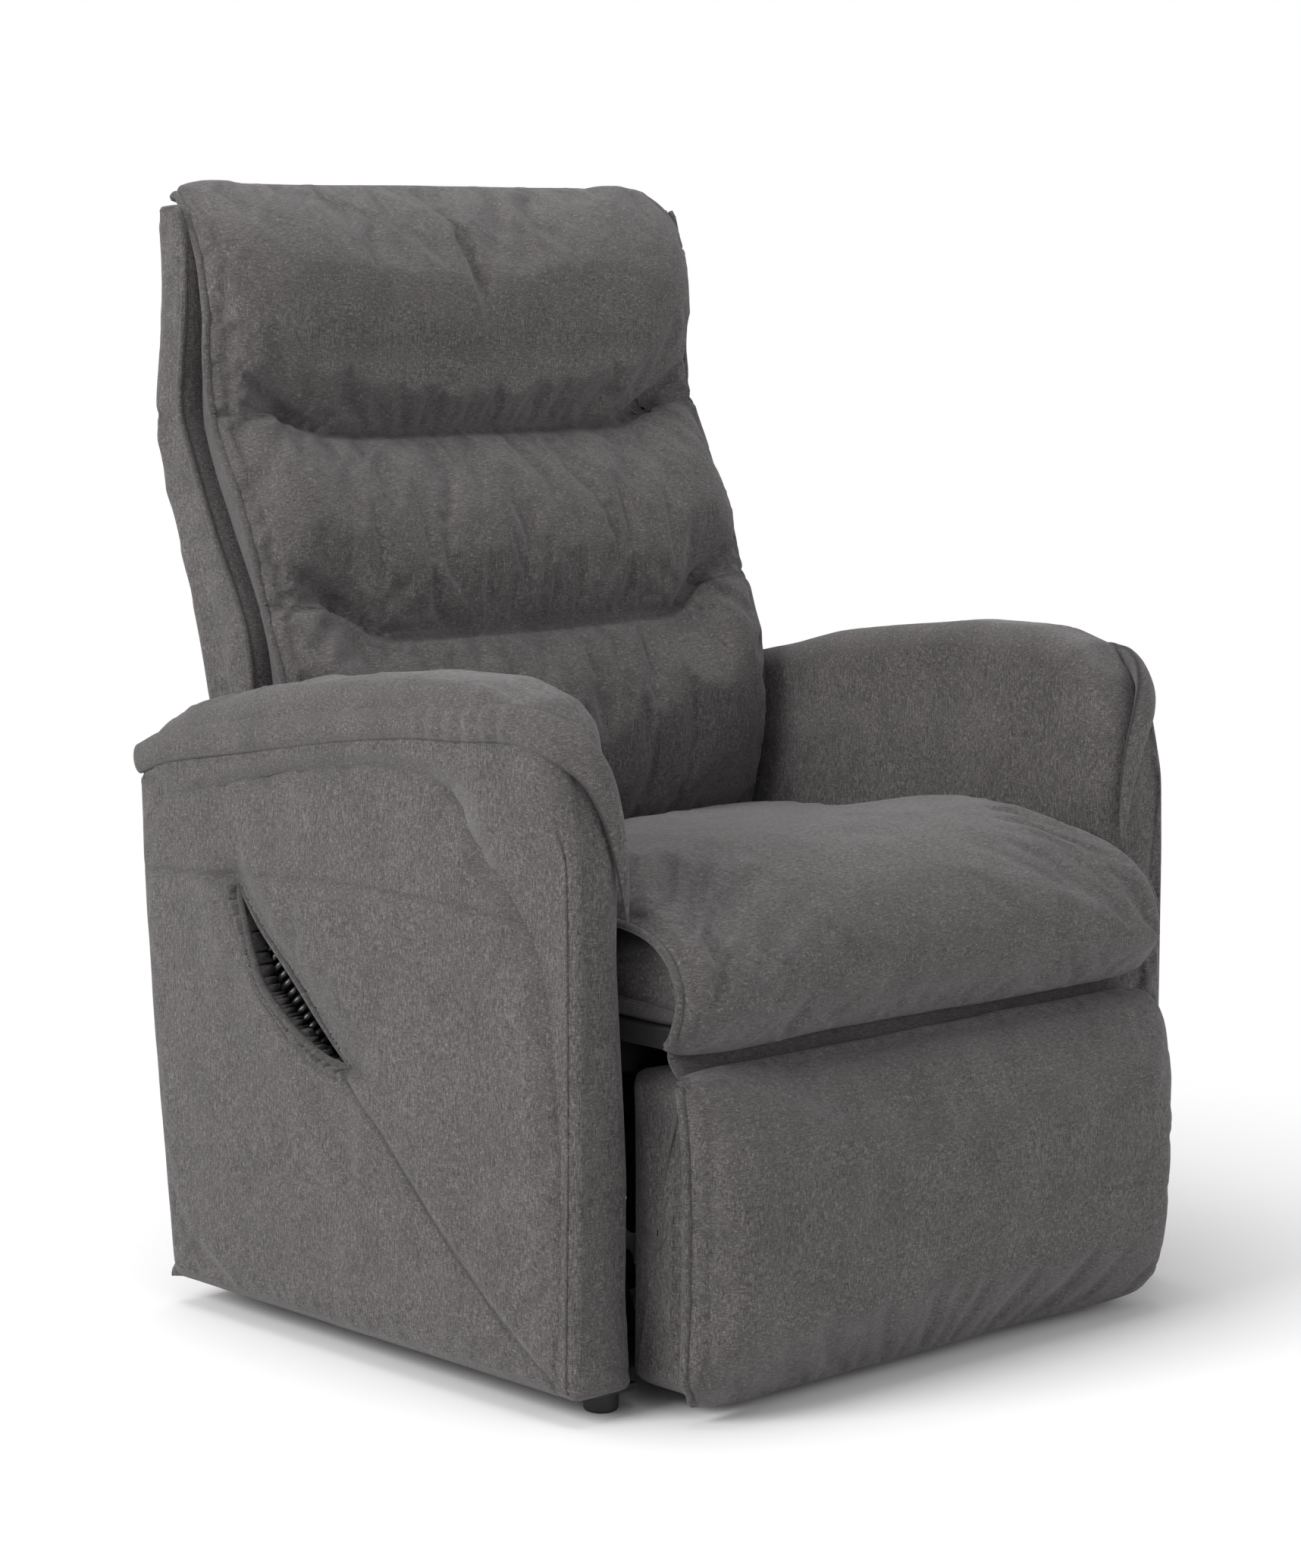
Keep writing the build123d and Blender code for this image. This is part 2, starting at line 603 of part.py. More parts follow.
# ---------------------------------------------------------------- handset pocket in the right arm
pocket_direction = Vector(0, POCKET_AXIS[0], POCKET_AXIS[1])
pocket_plane = Plane(origin=(-391.5, POCKET_CENTRE[0], POCKET_CENTRE[1]), x_dir=pocket_direction, z_dir=(1, 0, 0))
with BuildPart() as pocket_lining:
    with BuildSketch(pocket_plane):
        with Locations((0, 11)):
            RectangleRounded(326, 78, 10)
    extrude(amount=40)
    with BuildSketch(pocket_plane):
        with Locations((0, 11)):
            RectangleRounded(321, 73, 8)
    extrude(amount=37.5, mode=Mode.SUBTRACT)
pocket_lining.part.label = "pocket_lining"
export_step(pocket_lining.part, "parts/pocket_lining.step")

# the cord's axis runs down the pocket from the handset to the socket
cord_plane = Plane(origin=(CORD_X, CORD_TOP[0], CORD_TOP[1]), x_dir=(1, 0, 0), z_dir=pocket_direction)
HANDSET_LENGTH = 118.0
HANDSET_WIDTH = 46.0
HANDSET_DEPTH = 20.0
BUTTON_R = 6.0
BUTTON_PLACES = ((-9, 84), (9, 84), (-9, 60), (9, 60))      # across and along the handset
BUTTON_TRAVEL = 1.2

with BuildPart() as handset:
    with BuildSketch(cord_plane.offset(LEAD_LENGTH + 8)):
        RectangleRounded(HANDSET_DEPTH, HANDSET_WIDTH, 6)
    extrude(amount=HANDSET_LENGTH)
    fillet(handset.faces().sort_by(SortBy.DISTANCE)[0].edges(), 1)
    face_plane = Plane(origin=(CORD_X - HANDSET_DEPTH / 2, CORD_TOP[0], CORD_TOP[1]),
                       x_dir=pocket_direction, z_dir=(-1, 0, 0))
    with BuildSketch(face_plane):
        for across, along in BUTTON_PLACES:
            with Locations((along + 20, across)):
                Circle(BUTTON_R + 0.4)
    extrude(amount=-4, mode=Mode.SUBTRACT)
handset.part.label = "handset"
export_step(handset.part, "parts/handset.step")

for index, (across, along) in enumerate(BUTTON_PLACES, start=1):
    with BuildPart() as button:
        with BuildSketch(face_plane.offset(-2.4)):
            with Locations((along + 20, across)):
                Circle(BUTTON_R)
        extrude(amount=4.2)
        fillet(button.faces().sort_by(Axis.X)[0].edges(), 0.8)
    button.part.label = f"handset_button_{index}"
    export_step(button.part, f"parts/handset_button_{index}.step")

with BuildPart() as handset_gland:
    with BuildSketch(cord_plane.offset(LEAD_LENGTH)):
        Circle(5)
    with BuildSketch(cord_plane.offset(LEAD_LENGTH + 8)):
        Circle(7.5)
    loft()
    with BuildSketch(cord_plane.offset(LEAD_LENGTH)):
        Circle(LEAD_RADIUS)
    extrude(amount=5, mode=Mode.SUBTRACT)
handset_gland.part.label = "handset_gland"
export_step(handset_gland.part, "parts/handset_gland.step")

with BuildPart() as handset_cord:
    with BuildSketch(cord_plane.offset(-CORD_COIL)):
        Circle(CORD_RADIUS)
    extrude(amount=CORD_COIL)
    with BuildSketch(cord_plane.offset(-CORD_COIL - LEAD_LENGTH)):
        Circle(LEAD_RADIUS)
    extrude(amount=CORD_COIL + 2 * LEAD_LENGTH + 5)
handset_cord.part.label = "handset_cord"
export_step(handset_cord.part, "parts/handset_cord.step")

with BuildPart() as handset_socket:
    with BuildSketch(cord_plane.offset(-CORD_COIL - LEAD_LENGTH - 14)):
        Circle(9)
    extrude(amount=14)
handset_socket.part.label = "handset_socket"
export_step(handset_socket.part, "parts/handset_socket.step")

# ---------------------------------------------------------------- back
def hollow_shell(face, half):
    """Rear wall and side walls of the back: the full profile less a narrower one moved forward."""
    outer = slab(face, -half, half)
    inner = slab(face, -half + SHELL_WALL, half - SHELL_WALL)
    for shift in ((-SHELL_WALL, 0), (-SHELL_WALL, 2 * SHELL_WALL), (-SHELL_WALL, -2 * SHELL_WALL),
                  (-30, 0), (-30, 2 * SHELL_WALL), (-30, -2 * SHELL_WALL)):
        outer = outer - inner.moved(Location((0, shift[0], shift[1])))
    return outer


back_shell_face = profile(
    Line((300, 425), (330, 600)),
    Spline((330, 600), (344, 650), (370, 740), (391, 807), (398, 866)),
    Line((398, 866), (352, 866)),
    Spline((352, 866), (343, 838), (308, 765), (260, 686), (238, 636)),
    Line((238, 636), (222, 440)),
    Line((222, 440), (268, 425)),
    Line((268, 425), (300, 425)))
with BuildPart() as back_shell:
    add(hollow_shell(back_shell_face, BACK_HALF))
back_shell.part.label = "back_shell"
export_step(back_shell.part, "parts/back_shell.step")

head_shell_face = profile(
    Line((398, 873), (396, 1080)),
    Line((396, 1080), (370, 1080)),
    Spline((370, 1080), (347, 1040), (348, 987), (357, 927), (360, 873)),
    Line((360, 873), (398, 873)))
with BuildPart() as head_shell:
    add(hollow_shell(head_shell_face, HEAD_HALF))
head_shell.part.label = "head_shell"
export_step(head_shell.part, "parts/head_shell.step")

with BuildPart() as back_frame:
    for side in (-1, 1):
        with BuildSketch(Plane.YZ.offset(side * 292)):
            with BuildLine():
                Polyline((234, 386), (266, 386), (284, 440), (304, 600), (340, 694), (380, 840), (380, 858),
                         (358, 858), (352, 826), (312, 694), (276, 600), (256, 440), (234, 420), (234, 386))
            make_face()
        extrude(amount=3, both=True)
    # lower and upper cross tubes
    add(rod((270, 430), 9, -290, 290))
    add(rod((364, 846), 9, -290, 290))
    # lever to the back motor
    add(bar((270, 430), BACK_LEVER_PIN, 12, 94, 99, (0, 5)))
    add(bar((270, 430), BACK_LEVER_PIN, 12, 121, 126, (0, 5)))
    # stub axles in the chassis ears
    add(rod(BACK_PIVOT, PIN_R, -303, -290))
    add(rod(BACK_PIVOT, PIN_R, 290, 303))
    # hinge ears of the headrest
    for x in (-250, 250):
        add(bar((364, 846), HEAD_PIVOT, 8, x - 4, x + 4, (0, 5 + RUNNING)))
back_frame.part.label = "back_frame"
export_step(back_frame.part, "parts/back_frame.step")

with BuildPart() as back_webbing:
    for centre in ((270, 505), (278, 572), (292, 630), (312, 675), (331, 738), (349, 802)):
        with BuildSketch(Plane.YZ.offset(-288)):
            with Locations(centre):
                Rectangle(2.5, 40)
        extrude(amount=576)
back_webbing.part.label = "back_webbing"
export_step(back_webbing.part, "parts/back_webbing.step")

with BuildPart() as lower_back_pad:
    with BuildSketch(Plane.YZ.offset(-PAD_HALF)):
        with BuildLine():
            Line((252, 440), (205, 440))
            Spline((205, 440), (190, 470), (184, 535), (190, 607), (214, 664), (256, 690))
            Line((256, 690), (290, 690))
            Line((290, 690), (260, 600))
            Line((260, 600), (252, 440))
        make_face()
    extrude(amount=2 * PAD_HALF)
lower_back_pad.part.label = "lower_back_pad"
export_step(lower_back_pad.part, "parts/lower_back_pad.step")

with BuildPart() as mid_back_pad:
    with BuildSketch(Plane.YZ.offset(-PAD_HALF)):
        with BuildLine():
            Line((290, 691), (256, 691))
            Spline((256, 691), (240, 706), (246, 745), (272, 800), (304, 852), (326, 866))
            Line((326, 866), (340, 866))
            Line((340, 866), (290, 691))
        make_face()
    extrude(amount=2 * PAD_HALF)
mid_back_pad.part.label = "mid_back_pad"
export_step(mid_back_pad.part, "parts/mid_back_pad.step")

with BuildPart() as head_pad:
    with BuildSketch(Plane.YZ.offset(-PAD_HALF - 5)):
        with BuildLine():
            Line((342, 881), (328, 884))
            Spline((328, 884), (308, 902), (300, 950), (306, 1020), (322, 1074), (352, 1114), (378, 1115),
                   (396, 1094))
            Line((396, 1094), (394, 1083))
            Line((394, 1083), (352, 1083))
            Line((352, 1083), (339, 1046))
            Line((339, 1046), (342, 881))
        make_face()
    extrude(amount=2 * PAD_HALF + 10)
head_pad.part.label = "head_pad"
export_step(head_pad.part, "parts/head_pad.step")

with BuildPart() as headrest_board:
    with BuildSketch(Plane.YZ.offset(-300)):
        with BuildLine():
            Polyline((364, 884), (378, 884), (378, 1070), (364, 1070), (364, 884))
        make_face()
    extrude(amount=600)
    with BuildSketch(Plane.XZ.offset(-355)):
        with Locations((0, 985)):
            Rectangle(440, 110)
    extrude(amount=-40, mode=Mode.SUBTRACT)
headrest_board.part.label = "headrest_board"
export_step(headrest_board.part, "parts/headrest_board.step")

with BuildPart() as headrest_hinges:
    for side in (-1, 1):
        inner = side * 244.5
        with BuildSketch(Plane.YZ.offset(inner)):
            with BuildLine():
                Polyline((344, 870), (360, 870), (363.5, 925), (356, 925), (344, 870))
            make_face()
            with Locations(HEAD_PIVOT):
                Circle(8)
        extrude(amount=-side * 4)
        add(rod(HEAD_PIVOT, 5, min(side * 241, side * 256), max(side * 241, side * 256)))
headrest_hinges.part.label = "headrest_hinges"
export_step(headrest_hinges.part, "parts/headrest_hinges.step")
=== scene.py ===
import json
import math

import bmesh
import bpy
import numpy as np
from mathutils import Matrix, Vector


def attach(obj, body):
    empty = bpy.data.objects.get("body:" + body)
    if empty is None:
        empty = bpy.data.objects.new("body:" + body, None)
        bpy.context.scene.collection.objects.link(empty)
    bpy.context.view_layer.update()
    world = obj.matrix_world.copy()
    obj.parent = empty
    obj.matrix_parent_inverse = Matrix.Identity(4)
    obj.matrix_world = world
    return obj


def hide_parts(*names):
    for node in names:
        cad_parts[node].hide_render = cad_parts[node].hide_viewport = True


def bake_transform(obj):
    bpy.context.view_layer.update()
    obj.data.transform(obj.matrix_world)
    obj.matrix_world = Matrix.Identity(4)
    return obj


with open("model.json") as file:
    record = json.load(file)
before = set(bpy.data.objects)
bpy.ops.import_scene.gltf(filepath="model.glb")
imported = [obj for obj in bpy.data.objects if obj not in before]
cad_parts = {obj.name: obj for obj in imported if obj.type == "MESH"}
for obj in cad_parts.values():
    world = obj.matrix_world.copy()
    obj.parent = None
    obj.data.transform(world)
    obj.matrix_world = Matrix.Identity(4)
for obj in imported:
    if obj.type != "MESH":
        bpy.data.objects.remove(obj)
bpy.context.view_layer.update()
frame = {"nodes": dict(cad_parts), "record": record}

scene = bpy.context.scene
# All lengths are in metres, X across the chair, the front towards -Y and Z up.
GRID = 0.0075          # spacing of a cushion's cloth before it is refined
OUTER_X = 0.400        # the plane of the arms' side panels
SEAT_HALF = 0.322      # half the width of the seat, footrest and back cushions
SHELL_HALF = 0.333     # half the width of the back's fabric shell
BOX_HALF = 0.303       # half the width of the seat box and the footrest box
WELT_RADIUS = 0.0040   # the sewn welt along a cushion's edges
CLOTH_FRAMES = 20      # frames that each cloth is blown for


# ------------------------------------------------------------------ curves and grids
def mm(*points):
    """The points, given in millimetres, as an array in metres."""
    return np.array(points, float) * 0.001


def evenly(line, count):
    """The polyline as count points evenly spaced along it."""
    line = np.asarray(line, float)
    steps = np.linalg.norm(np.diff(line, axis=0), axis=1)
    along = np.concatenate([[0.0], np.cumsum(steps)])
    wanted = np.linspace(0, along[-1], count)
    return np.column_stack([np.interp(wanted, along, line[:, k]) for k in range(line.shape[1])])


def evenly_values(points, values, count):
    """Values given at the points of a route, spread along the route as it is resampled."""
    steps = np.linalg.norm(np.diff(points, axis=0), axis=1)
    along = np.concatenate([[0.0], np.cumsum(steps)]) / steps.sum()
    wanted = np.linspace(0, 1, count)
    return np.column_stack([np.interp(wanted, along, values[:, k]) for k in range(values.shape[1])])


def through(points, count):
    """A smooth curve through the points, as count points evenly spaced along it."""
    points = np.asarray(points, float)
    ends = np.vstack([2 * points[0] - points[1], points, 2 * points[-1] - points[-2]])
    t = np.linspace(0, 1, 20, endpoint=False)[:, None]
    spans = []
    for a, b, c, d in zip(ends, ends[1:], ends[2:], ends[3:]):
        spans.append(0.5 * (2 * b + (c - a) * t + (2 * a - 5 * b + 4 * c - d) * t**2
                            + (3 * b - a - 3 * c + d) * t**3))
    return evenly(np.vstack(spans + [points[-1:]]), count)


def length_of(line):
    """The polyline's length."""
    return float(np.linalg.norm(np.diff(line, axis=0), axis=1).sum())


def rounded(outline, spacing, radius):
    """A closed outline, evenly spaced and with its corners softened to about the radius."""
    loop = np.vstack([outline, outline[:1]])
    count = int(length_of(loop) / spacing)
    loop = evenly(loop, count + 1)[:-1]
    reach = int(radius / spacing)
    total = sum(np.roll(loop, k, axis=0) * (reach + 1 - abs(k)) for k in range(-reach, reach + 1))
    return total / (reach + 1) ** 2


def inward_of(outline):
    """Unit normals of a closed 2-D outline, towards its inside."""
    tangent = np.roll(outline, -1, axis=0) - np.roll(outline, 1, axis=0)
    tangent /= np.linalg.norm(tangent, axis=1, keepdims=True)
    inward = np.column_stack([-tangent[:, 1], tangent[:, 0]])
    points_out = ((outline.mean(axis=0) - outline) * inward).sum() < 0
    return -inward if points_out else inward


def quarter_round(t):
    """Rise from 0 to 1 along a quarter circle, as t goes from 0 to 1."""
    return np.sqrt(np.maximum(0, 1 - (1 - np.clip(t, 0, 1)) ** 2))


def groove(gap, width):
    """1 on a sewn line and fading away from it, over about the width."""
    return np.exp(-(gap / width) ** 2)


def ease(x, low, high):
    """0 below low, 1 above high, and smooth between them."""
    t = np.clip((np.asarray(x, float) - low) / (high - low), 0, 1)
    return t * t * (3 - 2 * t)


def edge_drop(across, half, radius):
    """How far a cushion's skin has turned down near its edge, from 0 to 1, as a quarter ellipse."""
    t = np.clip((np.abs(across) - (half - radius)) / radius, 0, 1)
    return 1 - np.sqrt(np.maximum(0, 1 - t * t))


def outward(grid):
    """Unit normals of a grid of points."""
    across = np.gradient(grid, axis=1)
    along = np.gradient(grid, axis=0)
    normal = np.cross(across, along)
    return normal / np.maximum(np.linalg.norm(normal, axis=-1, keepdims=True), 1e-12)


def finer(grid, wrap=False):
    """The grid with a smooth new point between each pair, both ways; wrap joins each row's two ends."""
    for axis in (0, 1):
        g = np.moveaxis(grid, axis, 0)
        if wrap and axis == 1:
            before, after, beyond = (np.roll(g, shift, axis=0) for shift in (1, -1, -2))
            between = (9 * (g + after) - before - beyond) / 16
            grid = np.moveaxis(np.stack([g, between], axis=1).reshape(-1, *g.shape[1:]), 0, 1)
            continue
        ends = np.concatenate([2 * g[:1] - g[1:2], g, 2 * g[-1:] - g[-2:-1]])
        between = (9 * (ends[1:-2] + ends[2:-1]) - ends[:-3] - ends[3:]) / 16
        result = np.empty((2 * len(g) - 1,) + g.shape[1:])
        result[0::2] = g
        result[1::2] = between
        grid = np.moveaxis(result, 0, axis)
    return grid


def gap_to(points, line):
    """Distance of each 2-D point from a 2-D polyline."""
    best = np.full(points.shape[:-1], np.inf)
    for a, b in zip(line, line[1:]):
        run = b - a
        t = np.clip(((points - a) @ run) / max(run @ run, 1e-12), 0, 1)
        best = np.minimum(best, np.linalg.norm(points - a - t[..., None] * run, axis=-1))
    return best


def rumple(points, size, seed):
    """Smooth unevenness from -1 to 1 at each point, with features of the given size."""
    table = np.random.default_rng(seed).uniform(-1, 1, (24, 24, 24))
    cell = np.asarray(points) / size
    low = np.floor(cell).astype(int)
    t = cell - low
    t = t * t * (3 - 2 * t)
    total = 0
    for corner in np.ndindex(2, 2, 2):
        weight = np.prod(np.where(corner, t, 1 - t), axis=-1)
        index = (low + corner) % 24
        total = total + weight * table[index[..., 0], index[..., 1], index[..., 2]]
    return total


# ------------------------------------------------------------------ meshes
def make_mesh(name, points, faces, seam=None):
    """A smooth-shaded mesh object with its normals outward and a seam mask for its material."""
    mesh = bpy.data.meshes.new(name)
    mesh.from_pydata(np.asarray(points).reshape(-1, 3).tolist(), [], faces)
    mask = mesh.attributes.new("seam", "FLOAT", "POINT")
    if seam is not None:
        mask.data.foreach_set("value", np.asarray(seam, np.float32).ravel())
    work = bmesh.new()
    work.from_mesh(mesh)
    loose = [v for v in work.verts if not v.link_faces]
    bmesh.ops.delete(work, geom=loose, context="VERTS")
    bmesh.ops.recalc_face_normals(work, faces=work.faces)
    work.to_mesh(mesh)
    work.free()
    mesh.shade_smooth()
    piece = bpy.data.objects.new(name, mesh)
    scene.collection.objects.link(piece)
    return piece


def quads(rows, columns, first=0, wrap=False):
    """Faces of a grid of points, stored row by row."""
    faces = []
    for r in range(rows - 1):
        for c in range(columns if wrap else columns - 1):
            d = (c + 1) % columns
            faces.append((first + r * columns + c, first + r * columns + d,
                          first + (r + 1) * columns + d, first + (r + 1) * columns + c))
    return faces


def pillow(name, face, back, seam=None, hole=None):
    """Closed cushion between its face grid and its back grid; hole marks points that aren't there."""
    rows, columns = face.shape[:2]
    shift = rows * columns
    front = quads(rows, columns)
    if hole is not None:
        gone = hole.ravel()
        front = [q for q in front if not gone[list(q)].any()]
    sides = {(q[k], q[(k + 1) % 4]) for q in front for k in range(4)}
    walls = [(b, a, a + shift, b + shift) for a, b in sorted(sides) if (b, a) not in sides]
    rear = [tuple(i + shift for i in reversed(q)) for q in front]
    mask = None if seam is None else np.concatenate([seam.ravel(), np.zeros(shift)])
    points = np.concatenate([face.reshape(-1, 3), back.reshape(-1, 3)])
    return make_mesh(name, points, front + rear + walls, mask)


def tube(name, path, radius, sides=10, flat=1.0, normals=None, sewn=0.0):
    """Closed tube along a path; radius may be one per point, flat thins it, sewn darkens its two edges."""
    path = np.asarray(path, float)
    tangent = np.gradient(path, axis=0)
    tangent /= np.maximum(np.linalg.norm(tangent, axis=1, keepdims=True), 1e-12)
    if normals is None:
        up = np.array([0.31, 0.23, 0.92])
        normals = up - (tangent @ up)[:, None] * tangent
    side = np.cross(tangent, normals)
    side /= np.linalg.norm(side, axis=1, keepdims=True)
    lift = np.cross(side, tangent)
    turn = np.linspace(0, 2 * math.pi, sides, endpoint=False)
    radius = np.broadcast_to(radius, (len(path),))[:, None, None]
    ring = (path[:, None] + radius * np.cos(turn)[None, :, None] * side[:, None]
            + radius * flat * np.sin(turn)[None, :, None] * lift[:, None])
    seam = np.tile(sewn * np.abs(np.cos(turn)) ** 24, (len(path), 1))
    return make_mesh(name, ring, ring_faces(ring), seam)


def drawn_in(ring, middle=None, sink=0.0):
    """Rings that close an end, towards its middle; past three quarters they lie sunk along X."""
    middle = ring.mean(axis=0) if middle is None else np.array([ring[:, 0].mean(), *middle])
    ends = []
    for share in (0.9, 0.78, 0.74, 0.5, 0.32, 0.16, 0.05):
        loop = middle + (ring - middle) * share
        if sink and share < 0.76:
            loop[:, 0] = middle[0] - sink
        ends.append(loop)
    return ends


def ring_faces(grid):
    """Faces of a closed body whose grid's rows are its rings."""
    rows, columns = grid.shape[:2]
    faces = quads(rows, columns, wrap=True)
    faces.append(tuple(range(columns)))
    faces.append(tuple(reversed(range((rows - 1) * columns, rows * columns))))
    return faces


def drum(rings, far_middle=None, sink=0.0):
    """Points and faces of a closed body through its rings, with each end drawn in to its middle."""
    every = drawn_in(rings[0])[::-1] + list(rings) + drawn_in(rings[-1], far_middle, sink)
    grid = np.array(every)
    return grid, ring_faces(grid)


# ------------------------------------------------------------------ cloth
def blow(points, faces, held, pressure, cap, slack, toward=None):
    """Fills the cloth from inside with its held points pinned, and no point moving further than cap."""
    sheet = make_mesh("cloth_work", points, faces)
    if toward is not None:
        normal = sum((p.normal * p.area for p in sheet.data.polygons), Vector())
        pressure = pressure if normal.dot(Vector(toward)) > 0 else -pressure
    group = sheet.vertex_groups.new(name="held")
    weights = held.ravel()
    for index in np.flatnonzero(weights > 0.01):
        group.add([int(index)], float(weights[index]), "REPLACE")
    cloth = sheet.modifiers.new("fill", "CLOTH").settings
    cloth.quality = 5
    cloth.mass = 0.3
    cloth.use_pressure = True
    cloth.uniform_pressure_force = pressure
    cloth.effector_weights.gravity = 0
    cloth.shrink_min = -slack
    cloth.tension_stiffness = 12
    cloth.compression_stiffness = 12
    cloth.bending_stiffness = 0.6
    cloth.vertex_group_mass = "held"
    for step in range(1, CLOTH_FRAMES + 1):
        scene.frame_set(step)
    result = sheet.evaluated_get(bpy.context.evaluated_depsgraph_get()).to_mesh()
    moved = np.empty(len(result.vertices) * 3)
    result.vertices.foreach_get("co", moved)
    rest = points.reshape(-1, 3)
    push = moved.reshape(-1, 3) - rest
    size = np.linalg.norm(push, axis=1, keepdims=True)
    push *= cap / np.maximum(size, cap)
    bpy.data.objects.remove(sheet, do_unlink=True)
    scene.frame_set(1)
    return (rest + push).reshape(points.shape)


def blow_grid(grid, held, toward, pressure, cap, slack):
    """Fills an open sheet of cloth towards one side."""
    return blow(grid, quads(*grid.shape[:2]), held, pressure, cap, slack, toward)


# ------------------------------------------------------------------ materials
def node(tree, kind, **inputs):
    """A new node with those constants on its inputs; an underscore stands for a space."""
    made = tree.nodes.new(kind)
    for key, value in inputs.items():
        made.inputs[key.replace("_", " ")].default_value = value
    return made


def coordinates(tree, scale):
    """The object's own coordinates, stretched by a scale along each axis."""
    place = tree.nodes.new("ShaderNodeTexCoord")
    mapping = tree.nodes.new("ShaderNodeMapping")
    mapping.inputs["Scale"].default_value = scale
    tree.links.new(place.outputs["Object"], mapping.inputs["Vector"])
    return mapping.outputs["Vector"]


def noise(tree, scale, detail=2.0, rough=0.5):
    """Noise from 0 to 1, with about that many features to the metre along each axis."""
    made = node(tree, "ShaderNodeTexNoise", Scale=1.0, Detail=detail, Roughness=rough)
    tree.links.new(coordinates(tree, scale), made.inputs["Vector"])
    return made.outputs["Fac"]


def sums(tree, kind, a, b, clamp=False):
    """Arithmetic on two values, each a number or another node's output."""
    made = tree.nodes.new("ShaderNodeMath")
    made.operation = kind
    made.use_clamp = clamp
    for socket, value in zip(made.inputs, (a, b)):
        if isinstance(value, float):
            socket.default_value = value
        else:
            tree.links.new(value, socket)
    return made.outputs[0]


def ramp(tree, value, stops):
    """A colour ramp through (position, colour) stops."""
    made = tree.nodes.new("ShaderNodeValToRGB")
    while len(made.color_ramp.elements) < len(stops):
        made.color_ramp.elements.new(0.5)
    for element, (position, colour) in zip(made.color_ramp.elements, stops):
        element.position = position
        element.color = (*colour, 1)
    tree.links.new(value, made.inputs["Fac"])
    return made.outputs["Color"]


def bump(tree, height, distance, strength):
    """The surface's normal, turned by a height."""
    made = node(tree, "ShaderNodeBump", Strength=strength, Distance=distance)
    tree.links.new(height, made.inputs["Height"])
    return made.outputs["Normal"]


def mixed(tree, factor, a, b, blend="MIX"):
    """Two colours mixed; b is another node's output or a plain colour."""
    made = tree.nodes.new("ShaderNodeMix")
    made.data_type = "RGBA"
    made.blend_type = blend
    for socket, value in ((made.inputs["Factor"], factor), (made.inputs["A"], a), (made.inputs["B"], b)):
        if isinstance(value, (float, tuple)):
            socket.default_value = value
        else:
            tree.links.new(value, socket)
    return made.outputs["Result"]


def shader(name, roughness, **inputs):
    """A new material, with its node tree and its principled shader."""
    material = bpy.data.materials.new(name)
    material.use_nodes = True
    principled = material.node_tree.nodes["Principled BSDF"]
    principled.inputs["Roughness"].default_value = roughness
    for key, value in inputs.items():
        principled.inputs[key.replace("_", " ")].default_value = value
    return material, material.node_tree, principled


def grey(level, warmth):
    """A linear grey, a little warm."""
    return (level * (1 + 1.5 * warmth), level, level * (1 + 0.1 * warmth))


def chenille(name, level=0.078, warmth=0.06):
    """Mottled upholstery: fine upright slubs, crossed threads, pale flecks, soft patches of brushed pile."""
    material, tree, principled = shader(name, 0.92, Sheen_Weight=0.18, Sheen_Roughness=0.45,
                                        Specular_IOR_Level=0.2)
    link = tree.links.new
    normal = tree.nodes.new("ShaderNodeTexCoord").outputs["Normal"]
    split = tree.nodes.new("ShaderNodeSeparateXYZ")
    link(normal, split.inputs[0])
    flat = sums(tree, "POWER", sums(tree, "ABSOLUTE", split.outputs["Z"], 0.0), 2.0, clamp=True)
    turned = tree.nodes.new("ShaderNodeMix")
    turned.data_type = "VECTOR"
    link(flat, turned.inputs["Factor"])
    link(coordinates(tree, (900, 900, 150)), turned.inputs["A"])
    link(coordinates(tree, (900, 150, 900)), turned.inputs["B"])
    slub_noise = node(tree, "ShaderNodeTexNoise", Scale=1.0, Detail=2.0, Roughness=0.6)
    link(turned.outputs["Result"], slub_noise.inputs["Vector"])
    slub = slub_noise.outputs["Fac"]
    crossed = noise(tree, (190, 260, 1100), detail=1.0)
    shade = noise(tree, (20, 20, 14), detail=4.0, rough=0.62)
    grain = sums(tree, "ADD", sums(tree, "MULTIPLY", slub, 0.62), sums(tree, "MULTIPLY", crossed, 0.38))
    dark, mid, pale = (grey(level * k, warmth) for k in (0.42, 0.96, 1.85))
    thread_colour = ramp(tree, grain, ((0.34, dark), (0.5, mid), (0.68, pale)))
    patch_tone = ramp(tree, shade, ((0.33, (0.88,) * 3), (0.5, (1.0,) * 3), (0.68, (1.12,) * 3)))
    toned = mixed(tree, 1.0, thread_colour, patch_tone, blend="MULTIPLY")
    fleck = ramp(tree, noise(tree, (420, 420, 330), detail=0.0), ((0.69, (0, 0, 0)), (0.74, (1, 1, 1))))
    flecked = mixed(tree, sums(tree, "MULTIPLY", fleck, 0.45), toned, (*grey(level * 2.3, warmth), 1))
    seam = tree.nodes.new("ShaderNodeAttribute")
    seam.attribute_name = "seam"
    on_seam = sums(tree, "MULTIPLY", seam.outputs["Fac"], 0.82)
    sewn = mixed(tree, on_seam, flecked, (*grey(level * 0.10, warmth), 1))
    link(sewn, principled.inputs["Base Color"])
    height = sums(tree, "ADD", grain, sums(tree, "MULTIPLY", fleck, 0.25))
    link(bump(tree, height, 0.0007, 0.75), principled.inputs["Normal"])
    rough = sums(tree, "ADD", sums(tree, "MULTIPLY", shade, 0.2), 0.78, clamp=True)
    link(rough, principled.inputs["Roughness"])
    return material


